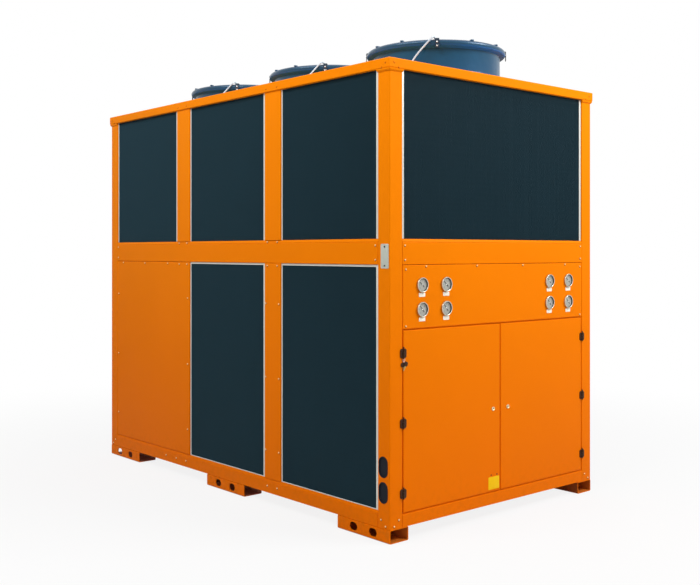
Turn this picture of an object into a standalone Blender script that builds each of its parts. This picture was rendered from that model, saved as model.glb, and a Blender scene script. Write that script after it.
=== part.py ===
"""Air-cooled industrial heat pump in a sheet-metal cabinet.

The cabinet stands on six box-section feet. Finned coils fill its upper half on all four sides
and part of its lower half on the long sides. Three axial fans stand in a row on the roof. A
panel of pressure gauges and two hinged doors close the lower half of the front.

Metres, +Z up. +X runs across the cabinet, +Y along it, away from the doors. The origin is on
the ground, under the middle of the cabinet.
"""

import math

import bmesh
import bpy
from mathutils import Matrix, Vector

# Cabinet
LENGTH = 2.480
WIDTH = 1.430
BODY_HEIGHT = 2.000
SHEET = 0.003
GAP = 0.0003

# Feet, of open-ended box section
FOOT_HEIGHT = 0.060
FOOT_LENGTH = 0.340
FOOT_WIDTH = 0.110
FOOT_WALL = 0.004
FOOT_SLOT_LENGTH = 0.042
FOOT_SLOT_HEIGHT = 0.034
FOOT_SLOT_OFFSET = 0.063

# Base tray, whose rails are higher on the long sides
SIDE_SILL = 0.070
FRONT_SILL = 0.055
SIDE_SILL_DEPTH = 0.066
FRONT_SILL_DEPTH = 0.020

# Posts
CORNER_POST = 0.075
POST_LIP = 0.022
MID_POST = 0.130
MID_POST_DEPTH = 0.060
BAYS = 3

# Rail round the middle of the cabinet, measured from the base
MID_RAIL_BOTTOM = 1.122
MID_RAIL_HEIGHT = 0.111
MID_RAIL_DEPTH = 0.074

# Roof
ROOF_HEIGHT = 0.043
ROOF_OVERHANG = 0.010
ROOF_FLANGE = 0.064
PLENUM_CLEARANCE = 0.002

# Finned coils
COIL_SETBACK = 0.008
COIL_THICKNESS = 0.050
FIN_SETBACK = 0.0035
STRIP_FRONT = 0.016
STRIP_BACK = 0.008
STRIP_TOP = 0.010
STRIP_BOTTOM = 0.004
END_STRIP = 0.014

# Folded panels and doors
PANEL_DEPTH = 0.020
PANEL_LEVEL = 0.845
DOOR_GAP = 0.005

# Hinges and locks of the doors
HINGE_DROPS = (0.097, 0.397, 0.697)
HINGE_HEIGHT = 0.040
HINGE_LEAF = 0.0175
HINGE_STANDOFF = 0.0050
PIN_SEGMENTS = 10
KNUCKLE_RADIUS = 0.0045
KNUCKLE_PLAY = 0.0005
LOCK_OFFSET = 0.0525
LOCK_DROP = 0.395
LOCK_RADIUS = 0.009
LOCK_PROUD = 0.004
LOCK_SEGMENTS = 12

# Pressure gauges
GAUGE_OFFSETS = (0.370, 0.522)
GAUGE_DROPS = (0.089, 0.198)
GAUGE_RADIUS = 0.033
GAUGE_PROUD = 0.0095
GAUGE_BEZEL = 0.0035
GAUGE_RECESS = 0.006
GAUGE_SEGMENTS = 14

# Cable entries in the near corner post
ENTRY_WIDTH = 0.055
ENTRY_HEIGHT = 0.091
ENTRY_LEVELS = (0.152, 0.261)
ENTRY_OFFSET = 0.040

# Control box behind the doors
BOX_INSET = 0.078
BOX_SETBACK = 0.026
BOX_DEPTH = 0.300
PLATE_MARGIN = 0.080
PLATE_STANDOFF = 0.020
STANDOFF_RADIUS = 0.010
STANDOFF_INSET = 0.030

# Fans: places, from the ends of the cabinet, and cowl
FAN_NAMES = ("front", "middle", "back")
FAN_END = 0.420
COWL_THROAT = 0.314
COWL_WALL = 0.004
COWL_HEIGHT = 0.175
COWL_FLANGE = 0.031
COWL_FLANGE_THICKNESS = 0.004
LIP_RADIUS = 0.016
LIP_UNDERCUT = 0.035
COWL_SEGMENTS = 28

# Fans: guard, with the fixed part of the motor
ARM_ANGLE = 45.0
ARM_EVERY = 3
ARM_WIDTH = 0.020
ARM_THICKNESS = 0.005
ARM_TAB = 0.048
ARM_TAB_THICKNESS = 0.003
SPOKE = 0.005
SPOKE_COUNT = 12
SPOKE_SETBACK = 0.008
RING_RADII = (0.150, 0.220, 0.290)
RING_SEGMENTS = 20
STATOR_RADIUS = 0.085
STATOR_HEIGHT = 0.040
TERMINAL_LENGTH = 0.090
TERMINAL_WIDTH = 0.070
TERMINAL_HEIGHT = 0.012

# Fans: impeller
BLADE_COUNT = 6
TIP_CLEARANCE = 0.0055
HUB_RADIUS = 0.095
HUB_HEIGHT = 0.080
HUB_ROUND = 0.010
HUB_SEGMENTS = 20
ROTOR_GAP = 0.005
SHAFT_RADIUS = 0.018
BLADE_BITE = 0.0095
BLADE_THICKNESS = 0.004
BLADE_ROOT_CHORD = 0.115
BLADE_TIP_CHORD = 0.165
BLADE_ROOT_PITCH = math.radians(30.0)
BLADE_TIP_PITCH = math.radians(17.0)
BLADE_SWEEP = math.radians(16.0)
BLADE_CAMBER = 0.008
BLADE_STATIONS = 4
BLADE_CHORD_POINTS = 4

# Fans: cable from the roof over the lip to the motor
CABLE_RADIUS = 0.004
GLAND_RADIUS = 0.011
GLAND_HEIGHT = 0.022
CABLE_STEPS = 3

# Levels worked out from the sizes above
BASE = FOOT_HEIGHT
ROOF_TOP = BASE + BODY_HEIGHT
ROOF_BOTTOM = ROOF_TOP - ROOF_HEIGHT
RAIL_BOTTOM = BASE + MID_RAIL_BOTTOM
RAIL_TOP = RAIL_BOTTOM + MID_RAIL_HEIGHT
PANEL_BOTTOM = BASE + PANEL_LEVEL
DOOR_TOP = PANEL_BOTTOM - DOOR_GAP
DOOR_BOTTOM = BASE + FRONT_SILL + DOOR_GAP
BAY = (LENGTH - 2 * CORNER_POST - (BAYS - 1) * MID_POST) / BAYS
COIL_BACK = COIL_SETBACK + COIL_THICKNESS
FAN_PITCH = (LENGTH - 2 * FAN_END) / (len(FAN_NAMES) - 1)
COWL_OUTER = COWL_THROAT + COWL_WALL
LIP_OUTER = COWL_THROAT + 2 * LIP_RADIUS
GUARD_SEAT = COWL_HEIGHT + GAP
STATOR_BOTTOM = GUARD_SEAT + ARM_THICKNESS / 2 - STATOR_HEIGHT
HUB_TOP = STATOR_BOTTOM - ROTOR_GAP
HUB_BOTTOM = HUB_TOP - HUB_HEIGHT


class Side:
    """One side of the cabinet: u runs along it from a front or left corner, d inwards."""

    def __init__(self, corner, along, inward, length):
        self.corner = Vector(corner)
        self.along = Vector(along)
        self.inward = Vector(inward)
        self.length = length

    def point(self, u, d, z):
        flat = self.corner + self.along * u + self.inward * d
        return Vector((flat.x, flat.y, z))


SIDES = {
    "front": Side((-WIDTH / 2, -LENGTH / 2), (1, 0), (0, 1), WIDTH),
    "back": Side((-WIDTH / 2, LENGTH / 2), (1, 0), (0, -1), WIDTH),
    "left": Side((-WIDTH / 2, -LENGTH / 2), (0, 1), (1, 0), LENGTH),
    "right": Side((WIDTH / 2, -LENGTH / 2), (0, 1), (-1, 0), LENGTH),
}


def clear_scene():
    for item in list(bpy.data.objects):
        bpy.data.objects.remove(item, do_unlink=True)


def finish(name, colour, roughness, metallic):
    """One Principled material, from its colour, roughness and metallic value."""
    material = bpy.data.materials.new(name)
    material.use_nodes = True
    shader = material.node_tree.nodes["Principled BSDF"]
    shader.inputs["Base Color"].default_value = (*colour, 1.0)
    shader.inputs["Roughness"].default_value = roughness
    shader.inputs["Metallic"].default_value = metallic
    material.diffuse_color = (*colour, 1.0)
    return material


def add_object(name, bm, material):
    """Closes a bmesh into a named object with outward faces and one material."""
    bmesh.ops.recalc_face_normals(bm, faces=bm.faces)
    mesh = bpy.data.meshes.new(name)
    bm.to_mesh(mesh)
    bm.free()
    mesh.materials.append(material)
    item = bpy.data.objects.new(name, mesh)
    bpy.context.collection.objects.link(item)
    return item


def apply_modifiers(item):
    """Replaces an object's mesh by the one that its modifiers make."""
    bpy.context.view_layer.update()
    evaluated = item.evaluated_get(bpy.context.evaluated_depsgraph_get())
    mesh = bpy.data.meshes.new_from_object(evaluated)
    old = item.data
    item.modifiers.clear()
    item.data = mesh
    bpy.data.meshes.remove(old)


def combine(target, tool, operation):
    """Joins the tool to the target, or cuts it out, and removes the tool."""
    step = target.modifiers.new(operation.lower(), "BOOLEAN")
    step.operation = operation
    step.solver = "EXACT"
    step.object = tool
    apply_modifiers(target)
    bpy.data.objects.remove(tool, do_unlink=True)
    return target


def fuse(target, tool):
    return combine(target, tool, "UNION")


def cut(target, tool):
    return combine(target, tool, "DIFFERENCE")


def prism(name, outline, place, start, end, material):
    """An outline of (a, b) points carried from start to end; place maps (a, b, c) to space."""
    bm = bmesh.new()
    face = bm.faces.new([bm.verts.new(place(a, b, start)) for a, b in outline])
    grown = bmesh.ops.extrude_face_region(bm, geom=[face])
    shift = place(*outline[0], end) - place(*outline[0], start)
    moved = [v for v in grown["geom"] if isinstance(v, bmesh.types.BMVert)]
    bmesh.ops.translate(bm, vec=shift, verts=moved)
    return add_object(name, bm, material)


def standing(a, b, c):
    """Places a plan outline in (x, y) and carries it upwards."""
    return Vector((a, b, c))


def upright(side):
    """Places an outline in (u, d) and carries it upwards."""
    return lambda a, b, c: side.point(a, b, c)


def lengthwise(side):
    """Places an outline in (d, z) and carries it along the side."""
    return lambda a, b, c: side.point(c, a, b)


def inwards(side):
    """Places an outline in (u, z) and carries it into the cabinet."""
    return lambda a, b, c: side.point(a, c, b)


def rectangle(a0, a1, b0, b1):
    return [(a0, b0), (a1, b0), (a1, b1), (a0, b1)]


def block(name, side, u, d, z, material):
    """A plain block between two values each of u, d and z."""
    return prism(name, rectangle(*u, *d), upright(side), z[0], z[1], material)


def circle(centre, radius, segments):
    steps = (2 * math.pi * i / segments for i in range(segments))
    return [(centre[0] + radius * math.cos(s), centre[1] + radius * math.sin(s)) for s in steps]


def obround(centre, width, height, segments=4):
    """A rounded slot, with half circles at the ends of its longer way."""
    radius = min(width, height) / 2
    straight = (max(width, height) - 2 * radius) / 2
    points = []
    for half in (0, 1):
        for i in range(segments + 1):
            turn = math.pi * (i / segments + half)
            along = straight * (1 - 2 * half)
            across = radius * math.cos(turn)
            points.append((across, along + radius * math.sin(turn)))
    if width > height:
        points = [(b, a) for a, b in points]
    return [(centre[0] + a, centre[1] + b) for a, b in points]


def turned(name, profile, centre, segments, material, closed=False):
    """A profile of (radius, height) points turned about the vertical through the centre."""
    bm = bmesh.new()
    verts = [bm.verts.new((r, 0.0, z)) for r, z in profile]
    pairs = list(zip(verts, verts[1:]))
    if closed:
        pairs.append((verts[-1], verts[0]))
    edges = [bm.edges.new(pair) for pair in pairs]
    bmesh.ops.spin(bm, geom=verts + edges, cent=(0, 0, 0), axis=(0, 0, 1),
                   angle=2 * math.pi, steps=segments, use_merge=True)
    bmesh.ops.remove_doubles(bm, verts=bm.verts, dist=0.00001)
    bmesh.ops.translate(bm, verts=bm.verts, vec=centre)
    return add_object(name, bm, material)


def tray(name, side, u, z, depth, material):
    """A panel folded on all four edges: a face with returns, open towards the inside."""
    panel = block(name, side, u, (0.0, depth), z, material)
    hollow = block("hollow", side, (u[0] + SHEET, u[1] - SHEET), (SHEET, depth + SHEET),
                   (z[0] + SHEET, z[1] - SHEET), material)
    return cut(panel, hollow)


def angle_outline(depth, low, high):
    """Section of a rail with a face and one flange at its top, as (d, z)."""
    return [(0.0, low), (SHEET, low), (SHEET, high - SHEET), (depth, high - SHEET),
            (depth, high), (0.0, high)]


def channel_outline(width, depth):
    """Section of a folded channel: a face across the width with a flange at each end."""
    return [(0.0, 0.0), (width, 0.0), (width, depth), (width - SHEET, depth),
            (width - SHEET, SHEET), (SHEET, SHEET), (SHEET, depth), (0.0, depth)]


def corner_outline():
    """Section of a corner post: two faces, each ending in a lip turned inwards."""
    a = CORNER_POST
    return [(0.0, 0.0), (a, 0.0), (a, POST_LIP), (a - SHEET, POST_LIP), (a - SHEET, SHEET),
            (SHEET, SHEET), (SHEET, a - SHEET), (POST_LIP, a - SHEET), (POST_LIP, a), (0.0, a)]


def bay_start(index):
    """Distance along a long side to the start of a bay."""
    return CORNER_POST + index * (BAY + MID_POST)


def base_frame(material):
    """Tray with a rail along each side; its corners are left out for the posts."""
    corner = CORNER_POST + GAP
    front = SIDES["front"]
    frame = block("base_frame", front, (0.0, WIDTH), (0.0, LENGTH), (BASE, BASE + SHEET), material)
    for side in SIDES.values():
        long_side = side.length == LENGTH
        top = BASE + (SIDE_SILL if long_side else FRONT_SILL)
        depth = SIDE_SILL_DEPTH if long_side else FRONT_SILL_DEPTH
        rail = prism("rail", angle_outline(depth, BASE, top), lengthwise(side),
                     corner, side.length - corner, material)
        fuse(frame, rail)
    for u in ((-GAP, corner), (WIDTH - corner, WIDTH + GAP)):
        for d in ((-GAP, corner), (LENGTH - corner, LENGTH + GAP)):
            cut(frame, block("notch", front, u, d, (BASE - SHEET, BASE + 2 * SHEET), material))
    return frame


def foot(name, side, middle, material):
    """Box section lying along the side, with two slots through both of its walls."""
    start, end = middle - FOOT_LENGTH / 2, middle + FOOT_LENGTH / 2
    top = BASE - GAP
    piece = block(name, side, (start, end), (0.0, FOOT_WIDTH), (0.0, top), material)
    cut(piece, block("bore", side, (start - FOOT_WALL, end + FOOT_WALL),
                     (FOOT_WALL, FOOT_WIDTH - FOOT_WALL), (FOOT_WALL, top - FOOT_WALL), material))
    for offset in (-FOOT_SLOT_OFFSET, FOOT_SLOT_OFFSET):
        outline = obround((middle + offset, top / 2), FOOT_SLOT_LENGTH, FOOT_SLOT_HEIGHT)
        cut(piece, prism("slot", outline, inwards(side), -FOOT_WALL, FOOT_WIDTH + FOOT_WALL, material))
    return piece


def feet(material):
    places = {"front": FOOT_LENGTH / 2, "middle": LENGTH / 2, "back": LENGTH - FOOT_LENGTH / 2}
    for side_name in ("left", "right"):
        for place_name, middle in places.items():
            foot(f"foot_{side_name}_{place_name}", SIDES[side_name], middle, material)


def knuckle(side, u, level, height, material):
    """One barrel of a hinge, standing on the hinge's axis."""
    outline = circle((u, -HINGE_STANDOFF), KNUCKLE_RADIUS, PIN_SEGMENTS)
    return prism("knuckle", outline, upright(side), level, level + height, material)


def hinge_seam(mirrored):
    """Place of a hinge axis along the front, and the way from it to the door."""
    seam = CORNER_POST + DOOR_GAP / 2
    return (WIDTH - seam, -1) if mirrored else (seam, 1)


def add_hinges(piece, mirrored, on_door, material):
    """Fuses one half of each hinge to a door or to the post beside it."""
    front = SIDES["front"]
    seam, towards_door = hinge_seam(mirrored)
    way = towards_door if on_door else -towards_door
    third = HINGE_HEIGHT / 3
    levels = (0.0, 2 * third) if on_door else (third,)
    outer = -HINGE_STANDOFF - KNUCKLE_RADIUS
    inner = -HINGE_STANDOFF + KNUCKLE_RADIUS
    leaf_face = -HINGE_STANDOFF + KNUCKLE_PLAY
    for drop in HINGE_DROPS:
        bottom = DOOR_TOP - drop - HINGE_HEIGHT / 2
        leaf_u = sorted((seam + way * (KNUCKLE_RADIUS + KNUCKLE_PLAY), seam + way * HINGE_LEAF))
        fuse(piece, block("leaf", front, leaf_u, (leaf_face, SHEET / 2),
                          (bottom, bottom + HINGE_HEIGHT), material))
        for level in levels:
            low = bottom + level + KNUCKLE_PLAY / 2
            high = bottom + level + third - KNUCKLE_PLAY / 2
            arm_u = sorted((seam, seam + way * (KNUCKLE_RADIUS + 2 * KNUCKLE_PLAY)))
            barrel = knuckle(front, seam, low, high - low, material)
            fuse(barrel, block("arm", front, arm_u, (outer, inner), (low, high), material))
            fuse(piece, barrel)
    return piece


def corner_posts(material):
    for end_name in ("front", "back"):
        for hand in ("left", "right"):
            side = SIDES[end_name]
            mirrored = hand == "right"
            outline = corner_outline()
            if mirrored:
                outline = [(side.length - u, d) for u, d in outline]
            post = prism(f"corner_post_{end_name}_{hand}", outline, upright(side),
                         BASE, ROOF_BOTTOM - GAP, material)
            if end_name == "front":
                add_hinges(post, mirrored, False, material)
            if end_name == "front" and hand == "left":
                cut_cable_entries(post, material)


def cut_cable_entries(post, material):
    """Two obround cable entries through the long-side face of the near corner post."""
    for level in ENTRY_LEVELS:
        outline = obround((ENTRY_OFFSET, BASE + level), ENTRY_WIDTH, ENTRY_HEIGHT)
        cut(post, prism("entry", outline, inwards(SIDES["left"]), -SHEET, POST_LIP / 2, material))


def mid_posts(material):
    """Channel posts between the bays; the last lower bay has a panel that needs none."""
    outline = channel_outline(MID_POST, MID_POST_DEPTH)
    for side_name in ("left", "right"):
        side = SIDES[side_name]
        for index, place_name in enumerate(("front", "back")):
            start = bay_start(index) + BAY
            moved = [(start + u, d) for u, d in outline]
            prism(f"upper_post_{side_name}_{place_name}", moved, upright(side),
                  RAIL_TOP + GAP, ROOF_BOTTOM - GAP, material)
            if index == 0:
                prism(f"lower_post_{side_name}", moved, upright(side),
                      BASE + SIDE_SILL + GAP, RAIL_BOTTOM - GAP, material)


def mid_rails(material):
    """Channel rails between the corner posts, on all four sides."""
    outline = [(d, RAIL_BOTTOM + u) for u, d in channel_outline(MID_RAIL_HEIGHT, MID_RAIL_DEPTH)]
    end = CORNER_POST + GAP
    for side_name, side in SIDES.items():
        prism(f"mid_rail_{side_name}", outline, lengthwise(side), end, side.length - end, material)


def fan_places():
    """The fans' names and the middles of their throats, from the front to the back."""
    first = -LENGTH / 2 + FAN_END
    return {name: Vector((0.0, first + i * FAN_PITCH, 0.0)) for i, name in enumerate(FAN_NAMES)}


def roof(material):
    """Hollow cap with a flange round its underside, three throats and the cable glands."""
    front = SIDES["front"]
    over = ROOF_OVERHANG
    piece = block("roof", front, (-over, WIDTH + over), (-over, LENGTH + over),
                  (ROOF_BOTTOM, ROOF_TOP), material)
    wall = over - SHEET
    cut(piece, block("hollow", front, (-wall, WIDTH + wall), (-wall, LENGTH + wall),
                     (ROOF_BOTTOM + SHEET, ROOF_TOP - SHEET), material))
    inset = ROOF_FLANGE
    cut(piece, block("mouth", front, (inset, WIDTH - inset), (inset, LENGTH - inset),
                     (ROOF_BOTTOM - SHEET, ROOF_BOTTOM + 2 * SHEET), material))
    for centre in fan_places().values():
        hole = circle(centre.xy, COWL_THROAT, COWL_SEGMENTS)
        cut(piece, prism("throat", hole, standing, ROOF_TOP - 2 * SHEET, ROOF_TOP + SHEET, material))
        gland = circle((centre + cable_route()[0]).xy, GLAND_RADIUS, PIN_SEGMENTS)
        fuse(piece, prism("gland", gland, standing, ROOF_TOP - SHEET / 2,
                          ROOF_TOP + GLAND_HEIGHT, material))
    return piece


def plenum_floor(material):
    """Sheet on the mid rails, between the coil chamber above and the works below."""
    inset = MID_POST_DEPTH + PLENUM_CLEARANCE
    return block("plenum_floor", SIDES["front"], (inset, WIDTH - inset), (inset, LENGTH - inset),
                 (RAIL_TOP + GAP, RAIL_TOP + GAP + SHEET), material)


def coil(name, side, u, z, strips, material):
    """Coil block whose fin face lies behind casing strips: (low u, high u, bottom, top)."""
    span = (u[0] + GAP, u[1] - GAP)
    rise = (z[0] + GAP, z[1] - GAP)
    piece = block(name, side, span, (COIL_SETBACK, COIL_BACK), rise, material)
    low, high = span[0] + strips[0], span[1] - strips[1]
    bottom = rise[0] + strips[2] if strips[2] else rise[0] - SHEET
    top = rise[1] - strips[3] if strips[3] else rise[1] + SHEET
    recess = block("recess", side, (low, high), (0.0, COIL_SETBACK + FIN_SETBACK),
                   (bottom, top), material)
    return cut(piece, recess)


def coils(material):
    upper = (RAIL_TOP, ROOF_BOTTOM)
    lower = (BASE + SIDE_SILL, RAIL_BOTTOM)
    for side_name in ("left", "right"):
        side = SIDES[side_name]
        for index, place_name in enumerate(("front", "middle", "back")):
            u = (bay_start(index), bay_start(index) + BAY)
            coil(f"coil_{side_name}_upper_{place_name}", side, u, upper,
                 (STRIP_FRONT, STRIP_BACK, 0.0, 0.0), material)
            if place_name != "back":
                coil(f"coil_{side_name}_lower_{place_name}", side, u, lower,
                     (STRIP_FRONT, STRIP_BACK, STRIP_BOTTOM, STRIP_TOP), material)
    for side_name in ("front", "back"):
        u = (CORNER_POST, WIDTH - CORNER_POST)
        coil(f"coil_{side_name}_upper", SIDES[side_name], u, upper,
             (END_STRIP, END_STRIP, 0.0, 0.0), material)


def fixed_panels(material):
    """Plain folded panels of the last lower bay on each long side, and of the back."""
    for side_name in ("left", "right"):
        start = bay_start(BAYS - 2) + BAY
        tray(f"side_panel_{side_name}", SIDES[side_name],
             (start + GAP, LENGTH - CORNER_POST - GAP),
             (BASE + SIDE_SILL + GAP, RAIL_BOTTOM - GAP), MID_POST_DEPTH, material)
    tray("back_panel", SIDES["back"], (CORNER_POST + GAP, WIDTH - CORNER_POST - GAP),
         (BASE + FRONT_SILL + GAP, RAIL_BOTTOM - GAP), PANEL_DEPTH, material)


def gauge_panel(material):
    """Folded panel over the doors, with the eight gauges standing on it."""
    front = SIDES["front"]
    panel = tray("gauge_panel", front, (CORNER_POST + GAP, WIDTH - CORNER_POST - GAP),
                 (PANEL_BOTTOM, RAIL_BOTTOM - GAP), PANEL_DEPTH, material)
    for offset in GAUGE_OFFSETS:
        for u in (WIDTH / 2 - offset, WIDTH / 2 + offset):
            for drop in GAUGE_DROPS:
                fuse(panel, gauge(front, (u, RAIL_BOTTOM - drop), material))
    return panel


def gauge(side, centre, material):
    """Body of a gauge: a round case whose bezel stands round a sunk dial."""
    rim = circle(centre, GAUGE_RADIUS, GAUGE_SEGMENTS)
    case = prism("gauge", rim, inwards(side), -GAUGE_PROUD, SHEET / 2, material)
    well = circle(centre, GAUGE_RADIUS - GAUGE_BEZEL, GAUGE_SEGMENTS)
    return cut(case, prism("well", well, inwards(side), -GAUGE_PROUD - SHEET,
                           -GAUGE_PROUD + GAUGE_RECESS, material))


def door(name, mirrored, material):
    """Folded door with its hinge halves and lock barrel, hung on its hinge axis."""
    front = SIDES["front"]
    near = (CORNER_POST + DOOR_GAP, (WIDTH - DOOR_GAP) / 2)
    u = (WIDTH - near[1], WIDTH - near[0]) if mirrored else near
    piece = tray(name, front, u, (DOOR_BOTTOM, DOOR_TOP), PANEL_DEPTH, material)
    lock_u = WIDTH / 2 + (LOCK_OFFSET if mirrored else -LOCK_OFFSET)
    outline = circle((lock_u, DOOR_TOP - LOCK_DROP), LOCK_RADIUS, LOCK_SEGMENTS)
    fuse(piece, prism("lock", outline, inwards(front), -LOCK_PROUD, PANEL_DEPTH, material))
    add_hinges(piece, mirrored, True, material)
    seam, _ = hinge_seam(mirrored)
    hang(piece, front.point(seam, -HINGE_STANDOFF, 0.0))
    return piece


def hang(piece, axis_point):
    """Moves an object's origin to a point on its joint's axis and leaves its shape there."""
    piece.data.transform(Matrix.Translation(-axis_point))
    piece.location = axis_point


def control_box(material):
    """Open-fronted box behind the doors, with a mounting plate on four standoffs."""
    front = SIDES["front"]
    u = (BOX_INSET, WIDTH - BOX_INSET)
    d = (BOX_SETBACK, BOX_SETBACK + BOX_DEPTH)
    z = (BASE + SHEET + GAP, PANEL_BOTTOM)
    box = block("control_box", front, u, d, z, material)
    cut(box, block("hollow", front, (u[0] + SHEET, u[1] - SHEET), (d[0] - SHEET, d[1] - SHEET),
                   (z[0] + SHEET, z[1] - SHEET), material))
    plate_u = (u[0] + PLATE_MARGIN, u[1] - PLATE_MARGIN)
    plate_z = (z[0] + PLATE_MARGIN, z[1] - PLATE_MARGIN)
    plate_d = (d[1] - SHEET - PLATE_STANDOFF - SHEET, d[1] - SHEET - PLATE_STANDOFF)
    plate = block("plate", front, plate_u, plate_d, plate_z, material)
    reach = STANDOFF_INSET
    for a in (plate_u[0] + reach, plate_u[1] - reach):
        for b in (plate_z[0] + reach, plate_z[1] - reach):
            outline = circle((a, b), STANDOFF_RADIUS, PIN_SEGMENTS)
            fuse(plate, prism("standoff", outline, inwards(front),
                              plate_d[0] + SHEET / 2, d[1] - SHEET / 2, material))
    return fuse(box, plate)


def cowl(name, centre, material):
    """Fan cowl: foot flange, straight throat and a lip rolled outwards at the top."""
    lip_middle = (COWL_THROAT + LIP_RADIUS, COWL_HEIGHT - LIP_RADIUS)
    foot = COWL_THROAT + COWL_FLANGE
    foot_top = GAP + COWL_FLANGE_THICKNESS
    profile = [(COWL_THROAT, GAP), (foot, GAP), (foot, foot_top), (COWL_OUTER, foot_top),
               (COWL_OUTER, COWL_HEIGHT - LIP_UNDERCUT)]
    for degrees in (-30, 15, 60, 120, 180):
        turn = math.radians(degrees)
        profile.append((lip_middle[0] + LIP_RADIUS * math.cos(turn),
                        lip_middle[1] + LIP_RADIUS * math.sin(turn)))
    return turned(name, profile, centre, COWL_SEGMENTS, material, closed=True)


def radial(centre, degrees):
    """Places an outline in (radius, height) and carries it sideways, at an angle."""
    turn = math.radians(degrees)
    out = Vector((math.cos(turn), math.sin(turn), 0.0))
    across = Vector((-math.sin(turn), math.cos(turn), 0.0))
    return lambda a, b, c: centre + out * a + across * c + Vector((0.0, 0.0, b))


def arm_outline():
    """Side view of a motor arm: flat over the lip, then turned down outside it."""
    low, high = GUARD_SEAT, GUARD_SEAT + ARM_THICKNESS
    tab_in = LIP_OUTER + GAP
    tab_out = tab_in + ARM_TAB_THICKNESS
    return [(STATOR_RADIUS / 2, low), (tab_in, low), (tab_in, high - ARM_TAB),
            (tab_out, high - ARM_TAB), (tab_out, high), (STATOR_RADIUS / 2, high)]


def guard(name, centre, material):
    """Wire guard: rings under radial spokes, four of them arms that hold the motor."""
    low = GUARD_SEAT
    stator = [(0.0, STATOR_BOTTOM), (STATOR_RADIUS, STATOR_BOTTOM),
              (STATOR_RADIUS, STATOR_BOTTOM + STATOR_HEIGHT), (0.0, STATOR_BOTTOM + STATOR_HEIGHT)]
    piece = turned(name, stator, centre, HUB_SEGMENTS, material)
    arms = []
    for i in range(SPOKE_COUNT):
        place = radial(centre, ARM_ANGLE + i * 360 / SPOKE_COUNT)
        if i % ARM_EVERY == 0:
            arms.append(prism("arm", arm_outline(), place, -ARM_WIDTH / 2, ARM_WIDTH / 2, material))
        else:
            outline = rectangle(STATOR_RADIUS / 2, LIP_OUTER - SPOKE_SETBACK, low, low + SPOKE)
            arms.append(prism("spoke", outline, place, -SPOKE / 2, SPOKE / 2, material))
    for arm in arms:
        fuse(piece, arm)
    ring_top = low + SPOKE / 4
    for radius in RING_RADII:
        ring = rectangle(radius - SPOKE / 2, radius + SPOKE / 2, ring_top - SPOKE, ring_top)
        fuse(piece, turned("ring", ring, centre, RING_SEGMENTS, material, closed=True))
    half = TERMINAL_LENGTH / 2
    outline = rectangle(-half, half, low + ARM_THICKNESS / 4, low + ARM_THICKNESS + TERMINAL_HEIGHT)
    fuse(piece, prism("terminal", outline, radial(centre, ARM_ANGLE),
                      -TERMINAL_WIDTH / 2, TERMINAL_WIDTH / 2, material))
    return piece


def blade_point(span, chord_share, turn):
    """A point on a blade's middle surface: the chord wraps round the hub and is pitched."""
    tip = COWL_THROAT - TIP_CLEARANCE
    root = HUB_RADIUS - BLADE_BITE
    radius = root + (tip - root) * span
    chord = BLADE_ROOT_CHORD + (BLADE_TIP_CHORD - BLADE_ROOT_CHORD) * span
    pitch = BLADE_ROOT_PITCH + (BLADE_TIP_PITCH - BLADE_ROOT_PITCH) * span
    along = (chord_share - 0.5) * chord
    angle = turn + BLADE_SWEEP * span ** 2 + along * math.cos(pitch) / radius
    rise = along * math.sin(pitch) + BLADE_CAMBER * (1 - 4 * (chord_share - 0.5) ** 2)
    middle = (HUB_BOTTOM + HUB_TOP - BLADE_CAMBER) / 2
    return Vector((radius * math.cos(angle), radius * math.sin(angle), middle + rise))


def blade(centre, turn, material):
    """One twisted and cambered blade, as a thickened sheet."""
    bm = bmesh.new()
    spans = [i / (BLADE_STATIONS - 1) for i in range(BLADE_STATIONS)]
    shares = [j / (BLADE_CHORD_POINTS - 1) for j in range(BLADE_CHORD_POINTS)]
    rows = [[bm.verts.new(centre + blade_point(span, share, turn)) for share in shares]
            for span in spans]
    for lower, upper in zip(rows, rows[1:]):
        for j in range(BLADE_CHORD_POINTS - 1):
            bm.faces.new((lower[j], lower[j + 1], upper[j + 1], upper[j]))
    piece = add_object("blade", bm, material)
    solid = piece.modifiers.new("thickness", "SOLIDIFY")
    solid.thickness = BLADE_THICKNESS
    solid.offset = 0.0
    apply_modifiers(piece)
    return piece


def impeller(name, centre, material):
    """Rotor of the motor with its twisted blades, turning about the fan's axis."""
    r, k = HUB_RADIUS, HUB_ROUND
    shaft_top = STATOR_BOTTOM - GAP
    profile = [(0.0, HUB_BOTTOM), (r - k, HUB_BOTTOM), (r, HUB_BOTTOM + k), (r, HUB_TOP - k),
               (r - k, HUB_TOP), (SHAFT_RADIUS, HUB_TOP), (SHAFT_RADIUS, shaft_top), (0.0, shaft_top)]
    piece = turned(name, profile, centre, HUB_SEGMENTS, material)
    for i in range(BLADE_COUNT):
        fuse(piece, blade(centre, 2 * math.pi * i / BLADE_COUNT, material))
    hang(piece, centre)
    return piece


def cable_route():
    """Route of a fan's cable from its gland to the motor, from the fan's middle and the deck."""
    over = GUARD_SEAT + ARM_THICKNESS + GAP + CABLE_RADIUS
    end = (TERMINAL_LENGTH / 2 + GAP) * math.sqrt(0.5)
    return [
        Vector((-0.347, -0.157, GLAND_HEIGHT + GAP)),
        Vector((-0.347, -0.157, GLAND_HEIGHT + 0.007)),
        Vector((-0.347, -0.157, GLAND_HEIGHT + 0.016)),
        Vector((-0.317, -0.184, COWL_HEIGHT - 0.074)),
        Vector((-0.279, -0.218, COWL_HEIGHT - 0.015)),
        Vector((-0.262, -0.232, over - 0.003)),
        Vector((-0.243, -0.224, over + 0.001)),
        Vector((-0.205, -0.196, over)),
        Vector((-0.150, -0.150, over)),
        Vector((-0.090, -0.090, over)),
        Vector((-end, -end, over)),
    ]


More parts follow.
